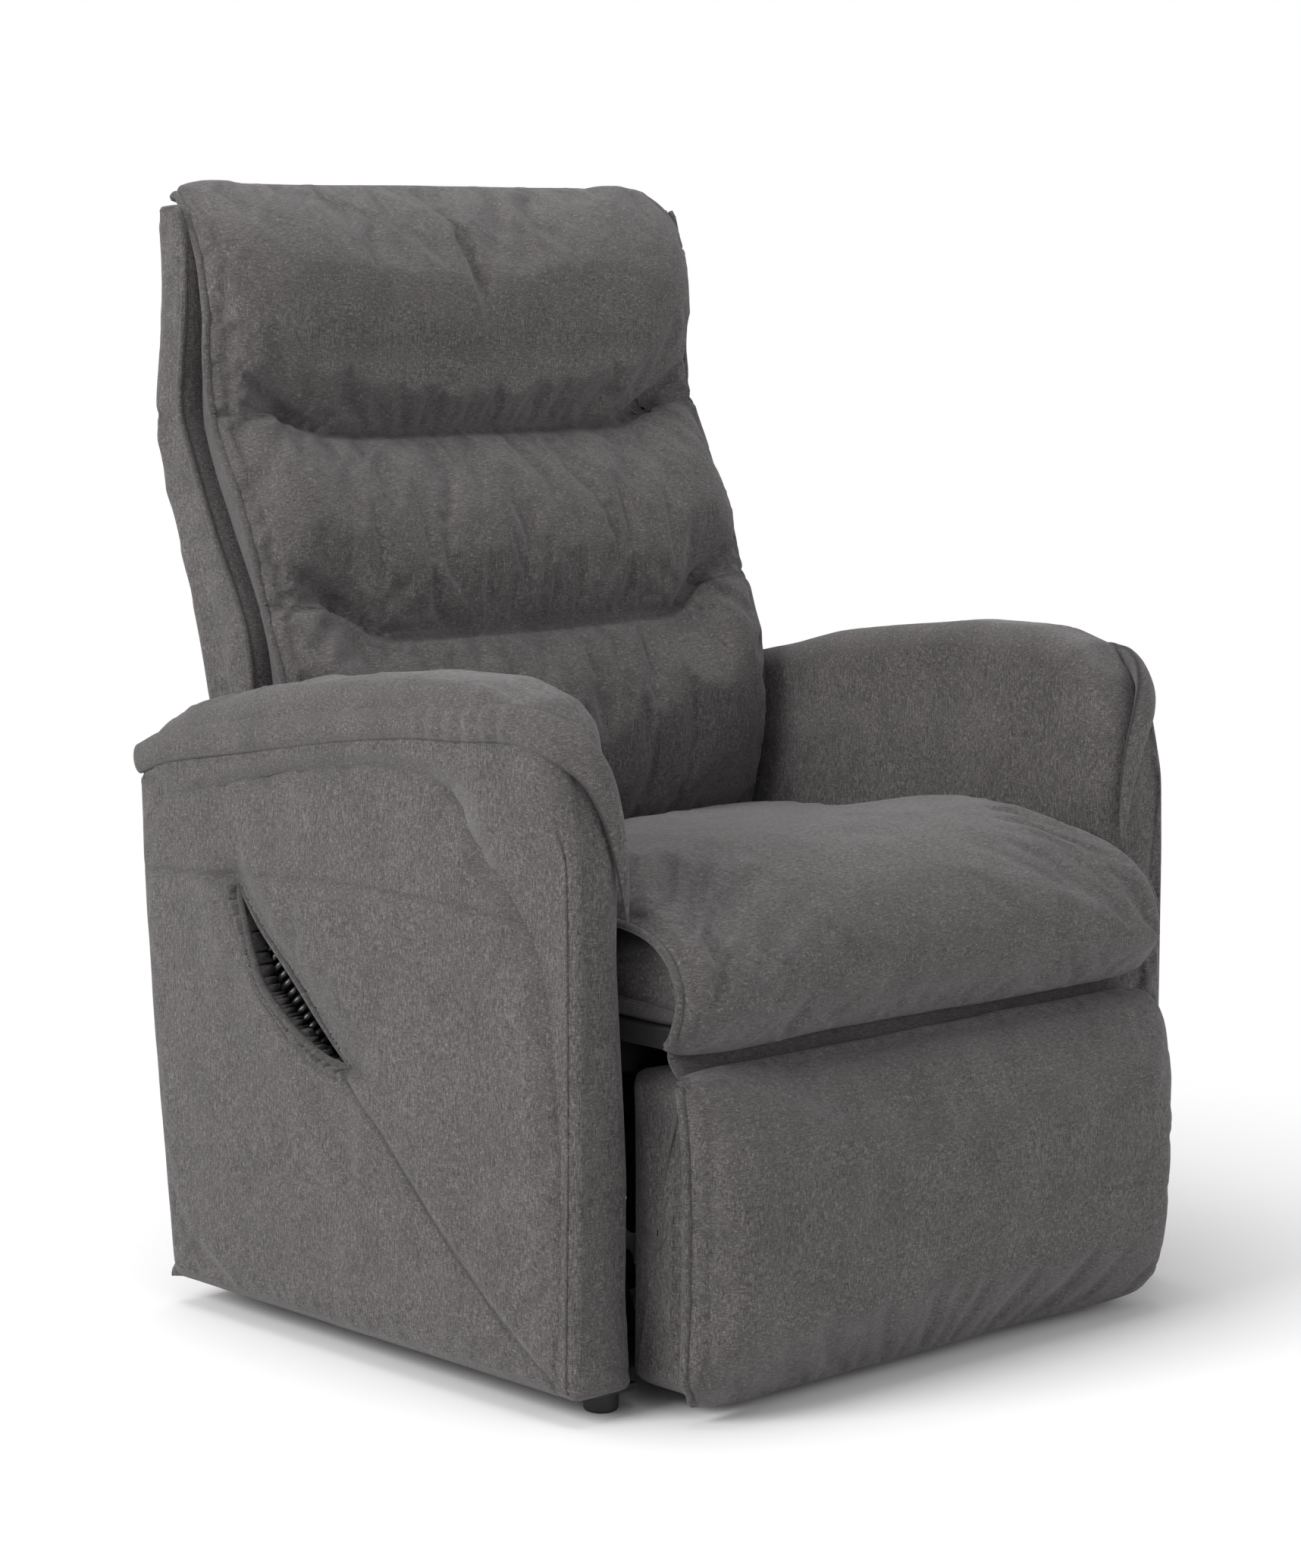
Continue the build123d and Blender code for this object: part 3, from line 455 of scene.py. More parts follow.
def plain_finish(name, dark, pale, roughness, fine=900.0, broad=14.0, depth=0.00015, **inputs):
    """Paint, metal, rubber or moulded plastic: two tones over broad patches, and a fine grain in its bump."""
    material, tree, principled = shader(name, roughness, **inputs)
    link = tree.links.new
    patches = noise(tree, (broad,) * 3, detail=5.0, rough=0.6)
    grain = noise(tree, (fine,) * 3, detail=2.0)
    link(ramp(tree, patches, ((0.35, dark), (0.65, pale))), principled.inputs["Base Color"])
    rough = sums(tree, "ADD", sums(tree, "MULTIPLY", patches, 0.25), roughness - 0.12, clamp=True)
    link(rough, principled.inputs["Roughness"])
    link(bump(tree, grain, depth, 0.6), principled.inputs["Normal"])
    return material


def wood(name):
    """Pale plywood with long grain."""
    material, tree, principled = shader(name, 0.6)
    grain = noise(tree, (12, 160, 160), detail=5.0, rough=0.65)
    stops = ((0.3, (0.32, 0.19, 0.09)), (0.55, (0.50, 0.33, 0.18)), (0.75, (0.60, 0.43, 0.26)))
    tree.links.new(ramp(tree, grain, stops), principled.inputs["Base Color"])
    tree.links.new(bump(tree, grain, 0.0004, 0.6), principled.inputs["Normal"])
    return material


def lining_cloth(name):
    """Black woven pocket cloth."""
    material, tree, principled = shader(name, 0.9, Sheen_Weight=0.2)
    weave = noise(tree, (700, 700, 700), detail=2.0)
    tone = ramp(tree, weave, ((0.3, (0.006,) * 3), (0.7, (0.02,) * 3)))
    tree.links.new(tone, principled.inputs["Base Color"])
    tree.links.new(bump(tree, weave, 0.0004, 0.7), principled.inputs["Normal"])
    return material


FABRIC = chenille("chenille")
PIPING = chenille("chenille_welt", level=0.072)
LINING = lining_cloth("pocket_lining_cloth")
RUBBER = plain_finish("black_rubber", (0.008,) * 3, (0.02,) * 3, 0.6)
CORD = plain_finish("cord_rubber", (0.006, 0.007, 0.007), (0.014, 0.015, 0.015), 0.32, Coat_Weight=0.3)
PLASTIC = plain_finish("black_plastic", (0.015,) * 3, (0.03,) * 3, 0.45)
BUTTON = plain_finish("button_grey", (0.22,) * 3, (0.32,) * 3, 0.5)
PAINTED = plain_finish("painted_steel", (0.02, 0.021, 0.023), (0.04, 0.041, 0.043), 0.42, Metallic=0.3)
BRIGHT = plain_finish("bright_steel", (0.42,) * 3, (0.62,) * 3, 0.3, fine=1600.0, depth=0.00005,
                      Metallic=1.0)
TIMBER = wood("plywood")
WEBBING = plain_finish("webbing", (0.03,) * 3, (0.07,) * 3, 0.85, fine=500.0, depth=0.0006)

SLOT_FINISH = {
    "frame_steel": PAINTED, "bright_steel": BRIGHT, "black_plastic": PLASTIC, "timber": TIMBER,
    "webbing": WEBBING, "pocket_cloth": LINING, "foot_rubber": RUBBER, "handset_shell": PLASTIC,
    "button_grey": BUTTON, "cord_rubber": CORD, "upholstery": FABRIC,
}


def finish_cad_nodes():
    """Every CAD node gets the finish of its slot; the seat deck gets the black pocket cloth instead, a dark
    sheet that paints the shade in the gap between the seat and the arm.
    """
    for part in frame["record"]["subparts"]:
        shown = frame["nodes"].get(part["node"])
        if shown is not None:
            # painted shade: the black pocket cloth on the seat deck keeps the gap between the seat and the
            # arm dark
            finish = LINING if part["node"] == "seat_deck" else SLOT_FINISH[part["material_slot"]]
            shown.data.materials.clear()
            shown.data.materials.append(finish)


def place(piece, body, *nodes, material=FABRIC, slot="upholstery", padded=None):
    """Gives a piece its material and hides the CAD nodes that it stands for; it is attached to its body when
    that is one name, and otherwise only has its transform baked.
    """
    piece.data.materials.clear()
    piece.data.materials.append(material)
    if isinstance(body, str):
        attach(piece, body)
    else:
        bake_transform(piece)
    if nodes:
        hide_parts(*nodes)
    return piece


# ------------------------------------------------------------------ camera, lights and floor
def set_camera():
    """The view from the chair's front right corner, a little above its seat."""
    lens = bpy.data.cameras.new("camera")
    lens.lens = 90.5
    lens.sensor_width = 36
    lens.sensor_fit = "VERTICAL"
    lens.sensor_height = 36
    camera = bpy.data.objects.new("camera", lens)
    camera.location = (-2.647, -2.833, 1.041)
    camera.rotation_euler = (math.radians(90 - 7.75), 0, math.radians(-42.74))
    scene.collection.objects.link(camera)
    scene.camera = camera


def area_light(name, location, target, size, power):
    """A round soft light of that diameter and power in watts, aimed at its target."""
    data = bpy.data.lights.new(name, "AREA")
    data.shape = "DISK"
    data.size = size
    data.energy = power
    lamp = bpy.data.objects.new(name, data)
    lamp.location = location
    lamp.rotation_euler = (Vector(target) - Vector(location)).to_track_quat("-Z", "Y").to_euler()
    scene.collection.objects.link(lamp)


def set_lights():
    """Three soft lights in an even white studio, which is brighter to the camera than to the chair."""
    area_light("key", (-3.6, 0.2, 2.3), (0, 0, 0.5), 2.2, 118)
    area_light("top", (-0.2, 0.3, 3.4), (0, 0, 0.4), 2.6, 52)
    area_light("front", (0.6, -4.2, 1.6), (0, 0, 0.5), 2.4, 32)
    world = bpy.data.worlds.new("studio")
    world.use_nodes = True
    tree = world.node_tree
    backing = tree.nodes["Background"]
    backing.inputs["Color"].default_value = (1, 1, 1, 1)
    seen = tree.nodes.new("ShaderNodeLightPath").outputs["Is Camera Ray"]
    tree.links.new(sums(tree, "ADD", sums(tree, "MULTIPLY", seen, 0.45), 0.55), backing.inputs["Strength"])
    scene.world = world
    scene.view_settings.view_transform = "Standard"


def make_floor():
    """Plain pale floor, which fades to an even white away from the object."""
    points = [(-40, -40, 0), (40, -40, 0), (40, 40, 0), (-40, 40, 0)]
    floor = make_mesh("floor", np.array(points, float), [(0, 1, 2, 3)])
    material, tree, principled = shader("floor_paper", 0.9)
    link = tree.links.new
    principled.inputs["Base Color"].default_value = (0.93, 0.93, 0.93, 1)
    far = tree.nodes.new("ShaderNodeVectorMath")
    far.operation = "LENGTH"
    link(tree.nodes.new("ShaderNodeTexCoord").outputs["Object"], far.inputs[0])
    fade = tree.nodes.new("ShaderNodeMapRange")
    link(far.outputs["Value"], fade.inputs["Value"])
    fade.inputs["From Min"].default_value = 0.55
    fade.inputs["From Max"].default_value = 1.25
    fade.interpolation_type = "SMOOTHSTEP"
    white = node(tree, "ShaderNodeEmission", Strength=1.0)
    mix = tree.nodes.new("ShaderNodeMixShader")
    link(fade.outputs["Result"], mix.inputs["Fac"])
    link(principled.outputs["BSDF"], mix.inputs[1])
    link(white.outputs["Emission"], mix.inputs[2])
    link(mix.outputs["Shader"], tree.nodes["Material Output"].inputs["Surface"])
    floor.data.materials.append(material)


# ------------------------------------------------------------------ the handset's curly cord
CORD_X = -0.3775                            # the pocket's middle, inside the right arm
COIL_TOP = mm((165, 380))[0]                # (y, z) where the coil starts
POCKET_DOWN = np.array([-0.688, -0.726])    # the pocket's (y, z) direction, down along the slit
COIL_LENGTH = 0.150
LEAD = 0.012                                # straight cord beyond each end of the coil
WIRE = 0.0068                               # the cord's own diameter
COIL_RADIUS = 0.0096                        # from the coil's axis to the middle of the cord
TURNS = 17
TURN_STEPS = 14                             # control points in one turn


def route_point(distance):
    """A point of the cord's route, that far below the coil's top, on the pocket's axis."""
    y, z = COIL_TOP + POCKET_DOWN * distance
    return (CORD_X, float(y), float(z))


def nurbs(name, points, bevel=0.0):
    """One open NURBS spline with those control points."""
    data = bpy.data.curves.new(name, "CURVE")
    data.dimensions = "3D"
    data.resolution_u = 6
    data.bevel_depth = bevel
    data.bevel_resolution = 4
    data.use_fill_caps = True
    spline = data.splines.new("NURBS")
    spline.points.add(len(points) - 1)
    for target, point in zip(spline.points, points):
        target.co = (*point, 1)
    spline.order_u = 3
    spline.use_endpoint_u = True
    piece = bpy.data.objects.new(name, data)
    scene.collection.objects.link(piece)
    return piece


def make_cord():
    """The curly cord: a helix about the pocket's axis, drawn in to the axis at both ends."""
    stops = (-LEAD, 0, 0.05, 0.10, COIL_LENGTH, COIL_LENGTH + LEAD)
    route = nurbs("cord_route", [route_point(stop) for stop in stops])
    centres = [v.co for v in bpy.data.meshes.new_from_object(route).vertices]
    line = np.array([tuple(c) for c in centres])
    bpy.data.objects.remove(route, do_unlink=True)
    steps = TURNS * TURN_STEPS
    centre = evenly(line, steps + 1)
    down = np.array([0.0, *POCKET_DOWN])
    across = np.cross(down, (1.0, 0.0, 0.0))
    helix = []
    for step, middle in enumerate(centre):
        angle = 2 * math.pi * step / TURN_STEPS
        share = step / steps
        grow = float(ease(min(share, 1 - share), 0.0, 0.055))
        uneven = 1 + 0.05 * math.sin(step * 0.23)
        reach = COIL_RADIUS * grow * uneven
        out = np.array([1.0, 0.0, 0.0]) * math.cos(angle) + across * math.sin(angle)
        helix.append(middle + out * reach)
    cord = nurbs("handset_curly_cord", [tuple(p) for p in helix], bevel=WIRE / 2)
    cord.data.materials.append(CORD)
    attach(cord, "chassis")
    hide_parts("handset_cord")


# ------------------------------------------------------------------ arms
PANEL_HEIGHT, PANEL_DEPTH = 0.54, 0.56      # about the side panel's size, which sets its grid
# Outlines are (y, z) in millimetres: a side panel's front, top and rear edges, the arm's own outline,
# and the pocket slit's two edges, which meet at its ends.
PANEL_FRONT = mm((-281, 26), (-288, 150), (-286, 271), (-272, 385), (-246, 448), (-206, 505),
                 (-175, 552), (-152, 600))
PANEL_TOP = mm((-152, 600), (-75, 598), (-10, 592), (71, 580), (170, 562), (281, 543), (344, 528))
PANEL_REAR = mm((300, 26), (314, 140), (328, 270), (339, 400), (344, 528))
ARM_OUTLINE = mm((-299, 24), (-303, 240), (-303, 440), (-301, 520), (-293, 575), (-272, 622),
                 (-240, 650), (-183, 666), (-80, 665), (28, 653), (110, 641), (175, 624),
                 (266, 604), (320, 578), (343, 552), (345, 520), (338, 380), (322, 200), (300, 24))
SLIT_TOP = mm((177, 437), (150, 408), (134, 393), (91, 358), (45, 316), (4, 280))
SLIT_LIP = mm((177, 437), (161, 404), (146, 372), (127, 342), (83, 309), (40, 287), (4, 280))


def coons(bottom, top, front, rear, rows, columns):
    """2-D grid filling the area between four curves that meet at its corners."""
    b, t = evenly(bottom, columns), evenly(top, columns)
    f, r = evenly(front, rows), evenly(rear, rows)
    u = np.linspace(0, 1, columns)[None, :, None]
    v = np.linspace(0, 1, rows)[:, None, None]
    corner = ((1 - u) * (1 - v) * b[0] + u * (1 - v) * b[-1] + (1 - u) * v * t[0] + u * v * t[-1])
    return (1 - v) * b[None] + v * t[None] + (1 - u) * f[:, None] + u * r[:, None] - corner


def border_gap(flat):
    """Distance of each point of a 2-D grid from its border."""
    rim = np.vstack([flat[0], flat[1:, -1], flat[-1, ::-1][1:], flat[::-1, 0][1:]])
    return gap_to(flat, rim[::3])


def inside(points, outline):
    """Which 2-D points lie inside a closed outline."""
    y, z = points[..., 0], points[..., 1]
    odd = np.zeros(y.shape, bool)
    for (ay, az), (by, bz) in zip(outline, np.roll(outline, -1, axis=0)):
        crosses = (az > z) != (bz > z)
        at = ay + (z - az) * (by - ay) / (bz - az if bz != az else 1e-12)
        odd ^= crosses & (y < at)
    return odd


def slit_hole(grid, back):
    """Marks the points inside the pocket's mouth, and draws those around it onto its edge."""
    flat = grid[..., 1:]
    mouth = np.vstack([through(SLIT_TOP, 60), through(SLIT_LIP, 60)[::-1]])
    hole = inside(flat, mouth)
    beside = hole.copy()
    for axis in (0, 1):
        for way in (-1, 1):
            beside |= np.roll(hole, way, axis=axis)
    corner = np.roll(beside, 1, axis=1) | np.roll(beside, -1, axis=1)
    near = (beside | (corner & (gap_to(flat, mouth) < 0.0035))) & ~hole
    offsets = flat[near][:, None] - mouth[None]
    closest = mouth[np.argmin((offsets ** 2).sum(axis=-1), axis=1)]
    for sheet in (grid, back):
        sheet[near, 1:] = closest
    return hole


def side_panel(side, slit):
    """The upholstered side panel, a little bellied, with its seams and on the right the pocket's slit."""
    front, rear, top = (through(edge, 80) for edge in (PANEL_FRONT, PANEL_REAR, PANEL_TOP))
    bottom = np.array([front[0], rear[0]])
    flat = coons(bottom, top, front, rear, int(PANEL_HEIGHT / GRID), int(PANEL_DEPTH / GRID))
    gap = border_gap(flat)
    lift = quarter_round(gap / 0.010)
    belly = 0.0065 * ease(gap, 0.0, 0.16)
    x = OUTER_X - 0.006 + 0.008 * lift + belly
    grid = np.dstack([x * side, flat])
    held = (gap < 0.012).astype(float)
    if slit:
        held = np.maximum(held, (gap_to(flat, np.vstack([SLIT_TOP, SLIT_LIP[::-1]])) < 0.016) * 0.6)
    grid = finer(blow_grid(grid, held, (side, 0, 0), pressure=1.1, cap=0.005, slack=0.012))
    flat = grid[..., 1:]
    push = 0.0010 * rumple(grid, 0.09, 5) + 0.0005 * rumple(grid, 0.03, 6)
    level = through(mm((331, 436), (240, 442), (120, 452), (0, 458), (-120, 458), (-238, 452)), 40)
    gap = gap_to(flat, level)
    push -= 0.0009 * groove(gap, 0.0030)
    seam = 0.32 * groove(gap, 0.0022)
    diagonal = through(mm((6, 281), (-90, 190), (-180, 108), (-281, 31)), 40)
    gap = gap_to(flat, diagonal)
    push -= 0.0026 * groove(gap, 0.0040)
    seam = np.maximum(seam, 0.62 * groove(gap, 0.0022))
    if slit:
        y, z = flat[..., 0], flat[..., 1]
        lip = gap_to(flat, SLIT_LIP)
        below = (z - np.interp(y, SLIT_LIP[::-1, 0], SLIT_LIP[::-1, 1])) < 0
        above = (z - np.interp(y, SLIT_TOP[::-1, 0], SLIT_TOP[::-1, 1])) > 0
        push += 0.0095 * groove(lip, 0.045) * below
        push -= 0.004 * groove(gap_to(flat, SLIT_TOP), 0.020) * above
        stitched = groove(lip - 0.0085, 0.0016) * below
        push -= 0.0014 * stitched
        seam = np.maximum(seam, 0.55 * stitched)
    grid[..., 0] += side * push
    back = grid.copy()
    back[..., 0] = side * (OUTER_X - 0.009)
    hole = slit_hole(grid, back) if slit else None
    return pillow("left_arm_side" if side > 0 else "right_arm_side", grid, back, seam, hole)


def arm_cover(side):
    """The arm's padded cover: top, inner face, front and rear, one soft closed body."""
    outline = rounded(ARM_OUTLINE, 0.0075, 0.014)
    inward = inward_of(outline)
    y, z = outline[:, 0], outline[:, 1]
    top = ease(z, 0.50, 0.60)
    front = ease(-y, 0.24, 0.285)
    inner_radius = 0.016 + 0.026 * np.maximum(top * 0.4, front * ease(z, 0.2, 0.5))
    outer_radius = 0.013 + 0.027 * top
    outer_inset = outer_radius * (1 - 0.15 * top)
    reach = OUTER_X - 0.001 + 0.009 * top
    inner_face = SEAT_HALF - 0.006 * ease(z, 0.40, 0.50) * ease(-y, 0.0, 0.25)
    turned = []
    for t in np.linspace(0, 1, 7):
        inset = inner_radius * (1 - math.sin(t * math.pi / 2))
        x = inner_face + inner_radius * (1 - math.cos(t * math.pi / 2))
        turned.append((x, inset))
    for t in np.linspace(0.15, 0.85, 5):
        a = inner_face + inner_radius
        b = reach - outer_radius
        turned.append((a + (b - a) * t, np.zeros_like(z)))
    for t in np.linspace(0, 1, 7):
        inset = outer_inset * (1 - math.cos(t * math.pi / 2))
        x = reach - outer_radius * (1 - math.sin(t * math.pi / 2))
        turned.append((x, inset))
    loops = [np.column_stack([x * side, outline + inward * inset[:, None]]) for x, inset in turned]
    grid, faces = drum(loops, far_middle=(0.130, 0.350), sink=0.049 * side)
    held = ((np.abs(grid[..., 0]) > OUTER_X - 0.012) | (grid[..., 2] < 0.035)).astype(float)
    grid = blow(grid, faces, held, pressure=1.3, cap=0.006, slack=0.01)
    uneven = rumple(grid, 0.10, 11) * (held < 0.5)
    grid = grid + 0.0012 * uneven[..., None] * [0.6 * side, 0.4, 0.7]
    grid = finer(grid, wrap=True)
    name = "left_arm_cover" if side > 0 else "right_arm_cover"
    return make_mesh(name, grid, ring_faces(grid))


def arm_band(side):
    """The boxing strip that edges the arm's top: along the side, round the front and down, to a point."""
    points = mm((398, 344, 541), (404, 281, 561), (405, 170, 580), (405, 71, 596), (405, -10, 608),
                (405, -90, 617), (405, -160, 621), (404, -215, 626), (397, -256, 622), (383, -284, 606),
                (367, -297, 583), (352, -299, 550), (342, -299, 515), (336, -299, 480), (333, -299, 450))
    facing = np.array([(1, 0.1, 0.1), (1, 0, 0.15), (1, 0, 0.15), (1, 0, 0.15), (1, 0, 0.15),
                       (1, 0, 0.15), (1, -0.05, 0.15), (1, -0.15, 0.2), (0.85, -0.55, 0.3),
                       (0.55, -0.9, 0.3), (0.2, -1, 0.25), (0, -1, 0.1), (-0.1, -1, 0.05),
                       (-0.2, -1, 0), (-0.3, -1, 0)], float)
    half_width = mm(15, 17, 17.5, 17, 16.5, 16.5, 17, 18, 19, 19, 16, 12.5, 9.5, 6, 1.5)
    count = 230
    path = through(points, count)
    spread = evenly_values(points, np.column_stack([facing, half_width]), count)
    normals, width = spread[:, :3], spread[:, 3]
    path[:, 0] *= side
    normals[:, 0] *= side
    step = np.arange(count)
    at_the_bend = ease(step, 118, 132) * (1 - ease(step, 160, 176))
    pleats = 0.0011 * np.sin(step * 0.9) * at_the_bend
    normals /= np.linalg.norm(normals, axis=1, keepdims=True)
    path = path + normals * pleats[:, None]
    name = "left_arm_band_strip" if side > 0 else "right_arm_band_strip"
    return tube(name, path, width, sides=28, flat=0.46, normals=normals, sewn=1.0)


def make_arms():
    """Both arms: the cover, the side panel and the band of each."""
    for side, label in ((1, "left"), (-1, "right")):
        place(arm_cover(side), "chassis", label + "_arm_pad", padded=0.75)
        place(side_panel(side, slit=side < 0), "chassis", label + "_arm_panel", padded=0.45)
        place(arm_band(side), "chassis", label + "_arm_band", padded=0.7)


def slit_lips():
    """The pocket mouth's welted lower lip and its soft upper edge."""
    for name, line, radius, out in (("pocket_lip_welt", SLIT_LIP, 0.0042, 0.0165),
                                    ("pocket_lip_inner_welt", SLIT_LIP + mm((5.5, 3.5)), 0.0030, 0.0125),
                                    ("pocket_top_edge", SLIT_TOP, 0.0030, 0.0035)):
        path = through(line, 60)
        t = np.linspace(0, 1, 60)
        proud = out * np.sin(np.pi * t) ** 0.6
        points = np.column_stack([-(OUTER_X + 0.003 + proud * 0.62), path])
        place(tube(name, points, radius * (0.55 + 0.45 * np.sin(np.pi * t) ** 0.5), sides=12),
              "chassis", material=PIPING, padded=0.7)


# ------------------------------------------------------------------ seat and footrest
EDGE_SHARE = 0.22      # how much of its thickness a cushion keeps at its sides
# (y, z) lines from the rear of the seat to the crease, and down the footrest: each cushion's skin, and
# its back.
SEAT_LINE = mm((203, 412), (190, 438), (115, 450), (-23, 464), (-109, 479), (-182, 484), (-240, 482),
               (-300, 471), (-345, 448), (-373, 415), (-381, 385), (-374, 357), (-356, 338),
               (-336, 329))
SEAT_BACK = mm((205, 404), (120, 415), (0, 426), (-109, 434), (-182, 438), (-240, 440), (-300, 438),
               (-330, 424), (-344, 405), (-348, 395), (-348, 380), (-344, 362), (-340, 350),
               (-332, 343))
FOOT_LINE = mm((-338, 317), (-352, 320), (-370, 315), (-385, 298), (-396, 262), (-400, 216), (-400, 165),
               (-396, 112), (-389, 62), (-378, 30), (-364, 14), (-352, 11))
FOOT_BACK = mm((-352, 310), (-353, 308), (-354, 304), (-354, 294), (-354, 262), (-354, 216), (-354, 165),
               (-354, 112), (-354, 62), (-354, 32), (-354, 20), (-353, 16))


def slab_cushion(line, back, radius, toward, cap, seed, narrow=np.ones_like):
    """Face, back and seams of a cushion along a (y, z) line, as wide as the seat and thin at its sides."""
    rows = int(length_of(line) / GRID)
    columns = int(2 * SEAT_HALF / GRID)
    skin, under = through(line, rows), through(back, rows)
    x = np.linspace(-SEAT_HALF, SEAT_HALF, columns)
    fall = edge_drop(x, SEAT_HALF, radius)[None, :, None] * (1 - EDGE_SHARE)
    flat = skin[:, None] * (1 - fall) + under[:, None] * fall
    width = narrow(np.linspace(0, 1, rows))
    grid = np.dstack([np.broadcast_to(x, (rows, columns)) * width[:, None], flat])
    held = np.zeros((rows, columns))
    held[:, :1] = held[:, -1:] = 1
    held[:2] = held[-2:] = 1
    grid = finer(blow_grid(grid, held, toward, pressure=2.6, cap=cap, slack=0.02))
    under = through(back, len(grid))
    normal = outward(grid)
    if (normal.reshape(-1, 3).mean(axis=0) @ np.asarray(toward, float)) < 0:
        normal = -normal
    x = grid[..., 0]
    edge = SEAT_HALF - np.abs(x)
    stitched = groove(edge - 0.009, 0.0022)
    push = 0.0016 * rumple(grid, 0.11, seed) + 0.0007 * rumple(grid, 0.035, seed + 1)
    push = push * ease(edge, 0.0, 0.03) - 0.0020 * stitched
    grid = grid + normal * push[..., None]
    base = np.dstack([x * 0.985, np.broadcast_to(under[:, None], grid[..., 1:].shape)])
    return grid, base, 0.35 * stitched


def edge_welts(name, grid, first, body, radius=WELT_RADIUS):
    """The sewn welts along both side edges of a cushion's face."""
    for label, column in (("right", 0), ("left", -1)):
        place(tube(name + "_welt_" + label, grid[first:-2, column], radius), body, material=PIPING,
              padded=0.8)


def seat_cushion():
    """The seat, which rolls over its front edge and down to the crease."""
    grid, base, seam = slab_cushion(SEAT_LINE, SEAT_BACK, 0.075, (0, -0.4, 1), 0.010, 21)
    place(pillow("seat_cushion", grid, base, seam), "chassis", "seat_pad", padded=0.75)
    edge_welts("seat", grid, 4, "chassis")


def foot_width(t):
    """The footrest pad's share of its width, which narrows a little at its bottom corners."""
    return 1 - 0.05 * ease(t, 0.84, 1.0) ** 2 - 0.006 * (1 - ease(t, 0.0, 0.1))


def footrest_cushion():
    """The footrest's pad, from the crease down to near the floor."""
    grid, base, seam = slab_cushion(FOOT_LINE, FOOT_BACK, 0.060, (0, -1, 0), 0.008, 31, foot_width)
    place(pillow("footrest_cushion", grid, base, seam), "footrest", "footrest_pad", padded=0.7)
    edge_welts("footrest", grid, 2, "footrest")


def block(name, outline, edge, seed):
    """Upholstered block: a soft (y, z) outline across the chair, with rounded and slightly filled ends."""
    outline = rounded(outline, 0.009, 0.018)
    inward = inward_of(outline)
    turns = [(BOX_HALF - edge * (1 - math.sin(t)), edge * (1 - math.cos(t)))
             for t in np.linspace(0, math.pi / 2, 6)]
    middle = np.linspace(-BOX_HALF + edge, BOX_HALF - edge, int(2 * BOX_HALF / 0.02))[1:-1]
    sections = [(-x, inset) for x, inset in reversed(turns)] + [(x, 0.0) for x in middle] + turns
    loops = [np.column_stack([np.full(len(outline), x), outline + inward * inset]) for x, inset in sections]
    grid, faces = drum(loops)
    grid = blow(grid, faces, np.zeros(grid.shape[:2]), pressure=0.8, cap=0.002, slack=0.0)
    grid = finer(grid + 0.0012 * rumple(grid, 0.08, seed)[..., None], wrap=True)
    return make_mesh(name, grid, ring_faces(grid))


def make_seat_box():
    """The two blocks behind the cushions: one under the seat's front, one behind the footrest's pad."""
    under_seat = mm((-338, 353), (-344, 375), (-343, 400), (-332, 420), (-305, 434), (60, 412), (203, 400),
                    (203, 354))
    place(block("seat_box_bolster", under_seat, 0.018, 41), "chassis", "seat_bolster", padded=0.8)
    behind_foot = mm((-350, 18), (-350, 312), (-264, 312), (-264, 18))
    place(block("footrest_box", behind_foot, 0.016, 42), "footrest", "footrest_body", padded=0.7)


def hinge_cloth():
    """The strip of cover that joins the seat to the footrest inside the crease."""
    line = through(mm((-332, 345), (-326, 338), (-323, 330), (-326, 322), (-334, 313), (-343, 309)), 16)
    x = np.linspace(-0.304, 0.304, 60)
    face = np.array([[(a, y, z) for a in x] for y, z in line])
    back = face + np.array([0, 0.004, 0])
    sway = 0.0012 * rumple(face, 0.06, 51)
    face[..., 1] += sway
    back[..., 1] += sway
    piece = pillow("crease_cover", face, back)
    place(piece, ("chassis", "footrest", (0, -0.328, 0.345), (0, -0.335, 0.313)), padded=0.1)


# ------------------------------------------------------------------ back
BACK_DEPTH = 0.030     # how far the cushion's face stands before its edge line
BACK_GRID = 0.0062     # spacing of its cloth along the back
CREASES = ((0.878, 0.855), (0.694, 0.657))    # heights of each sewn crease: at its ends, in the middle
# Pleats at a crease's end, each from (x, z above the crease) to (x, z above the crease), and its depth.
PLEATS = (((0.232, -0.010), (0.300, 0.034), 0.0050),
          ((0.246, -0.004), (0.292, -0.040), 0.0045),
          ((0.205, -0.016), (0.168, 0.016), 0.0026),
          ((0.222, -0.014), (0.205, -0.052), 0.0032),
          ((0.275, 0.002), (0.318, 0.016), 0.0026))
# (y, z) lines up the back: the cushion's edge, and its rear.
BACK_WELT = mm((228, 438), (216, 480), (205, 530), (203, 575), (210, 625), (237, 690), (262, 762),
               (287, 812), (314, 865), (327, 925), (326, 972), (336, 1030), (356, 1070), (381, 1092),
               (397, 1088))
BACK_REAR = mm((262, 434), (252, 480), (244, 530), (243, 575), (249, 630), (268, 690), (306, 765),
               (336, 818), (352, 868), (353, 925), (346, 985), (350, 1040), (364, 1066), (380, 1080),
               (392, 1082))


def crease_height(x, end, middle):
    """Height of a sewn crease: it sags between its ends, which stay level."""
    return end - (end - middle) * (1 - ease(np.abs(x), 0.185, 0.262)) - 0.003 * np.cos(x * 6)


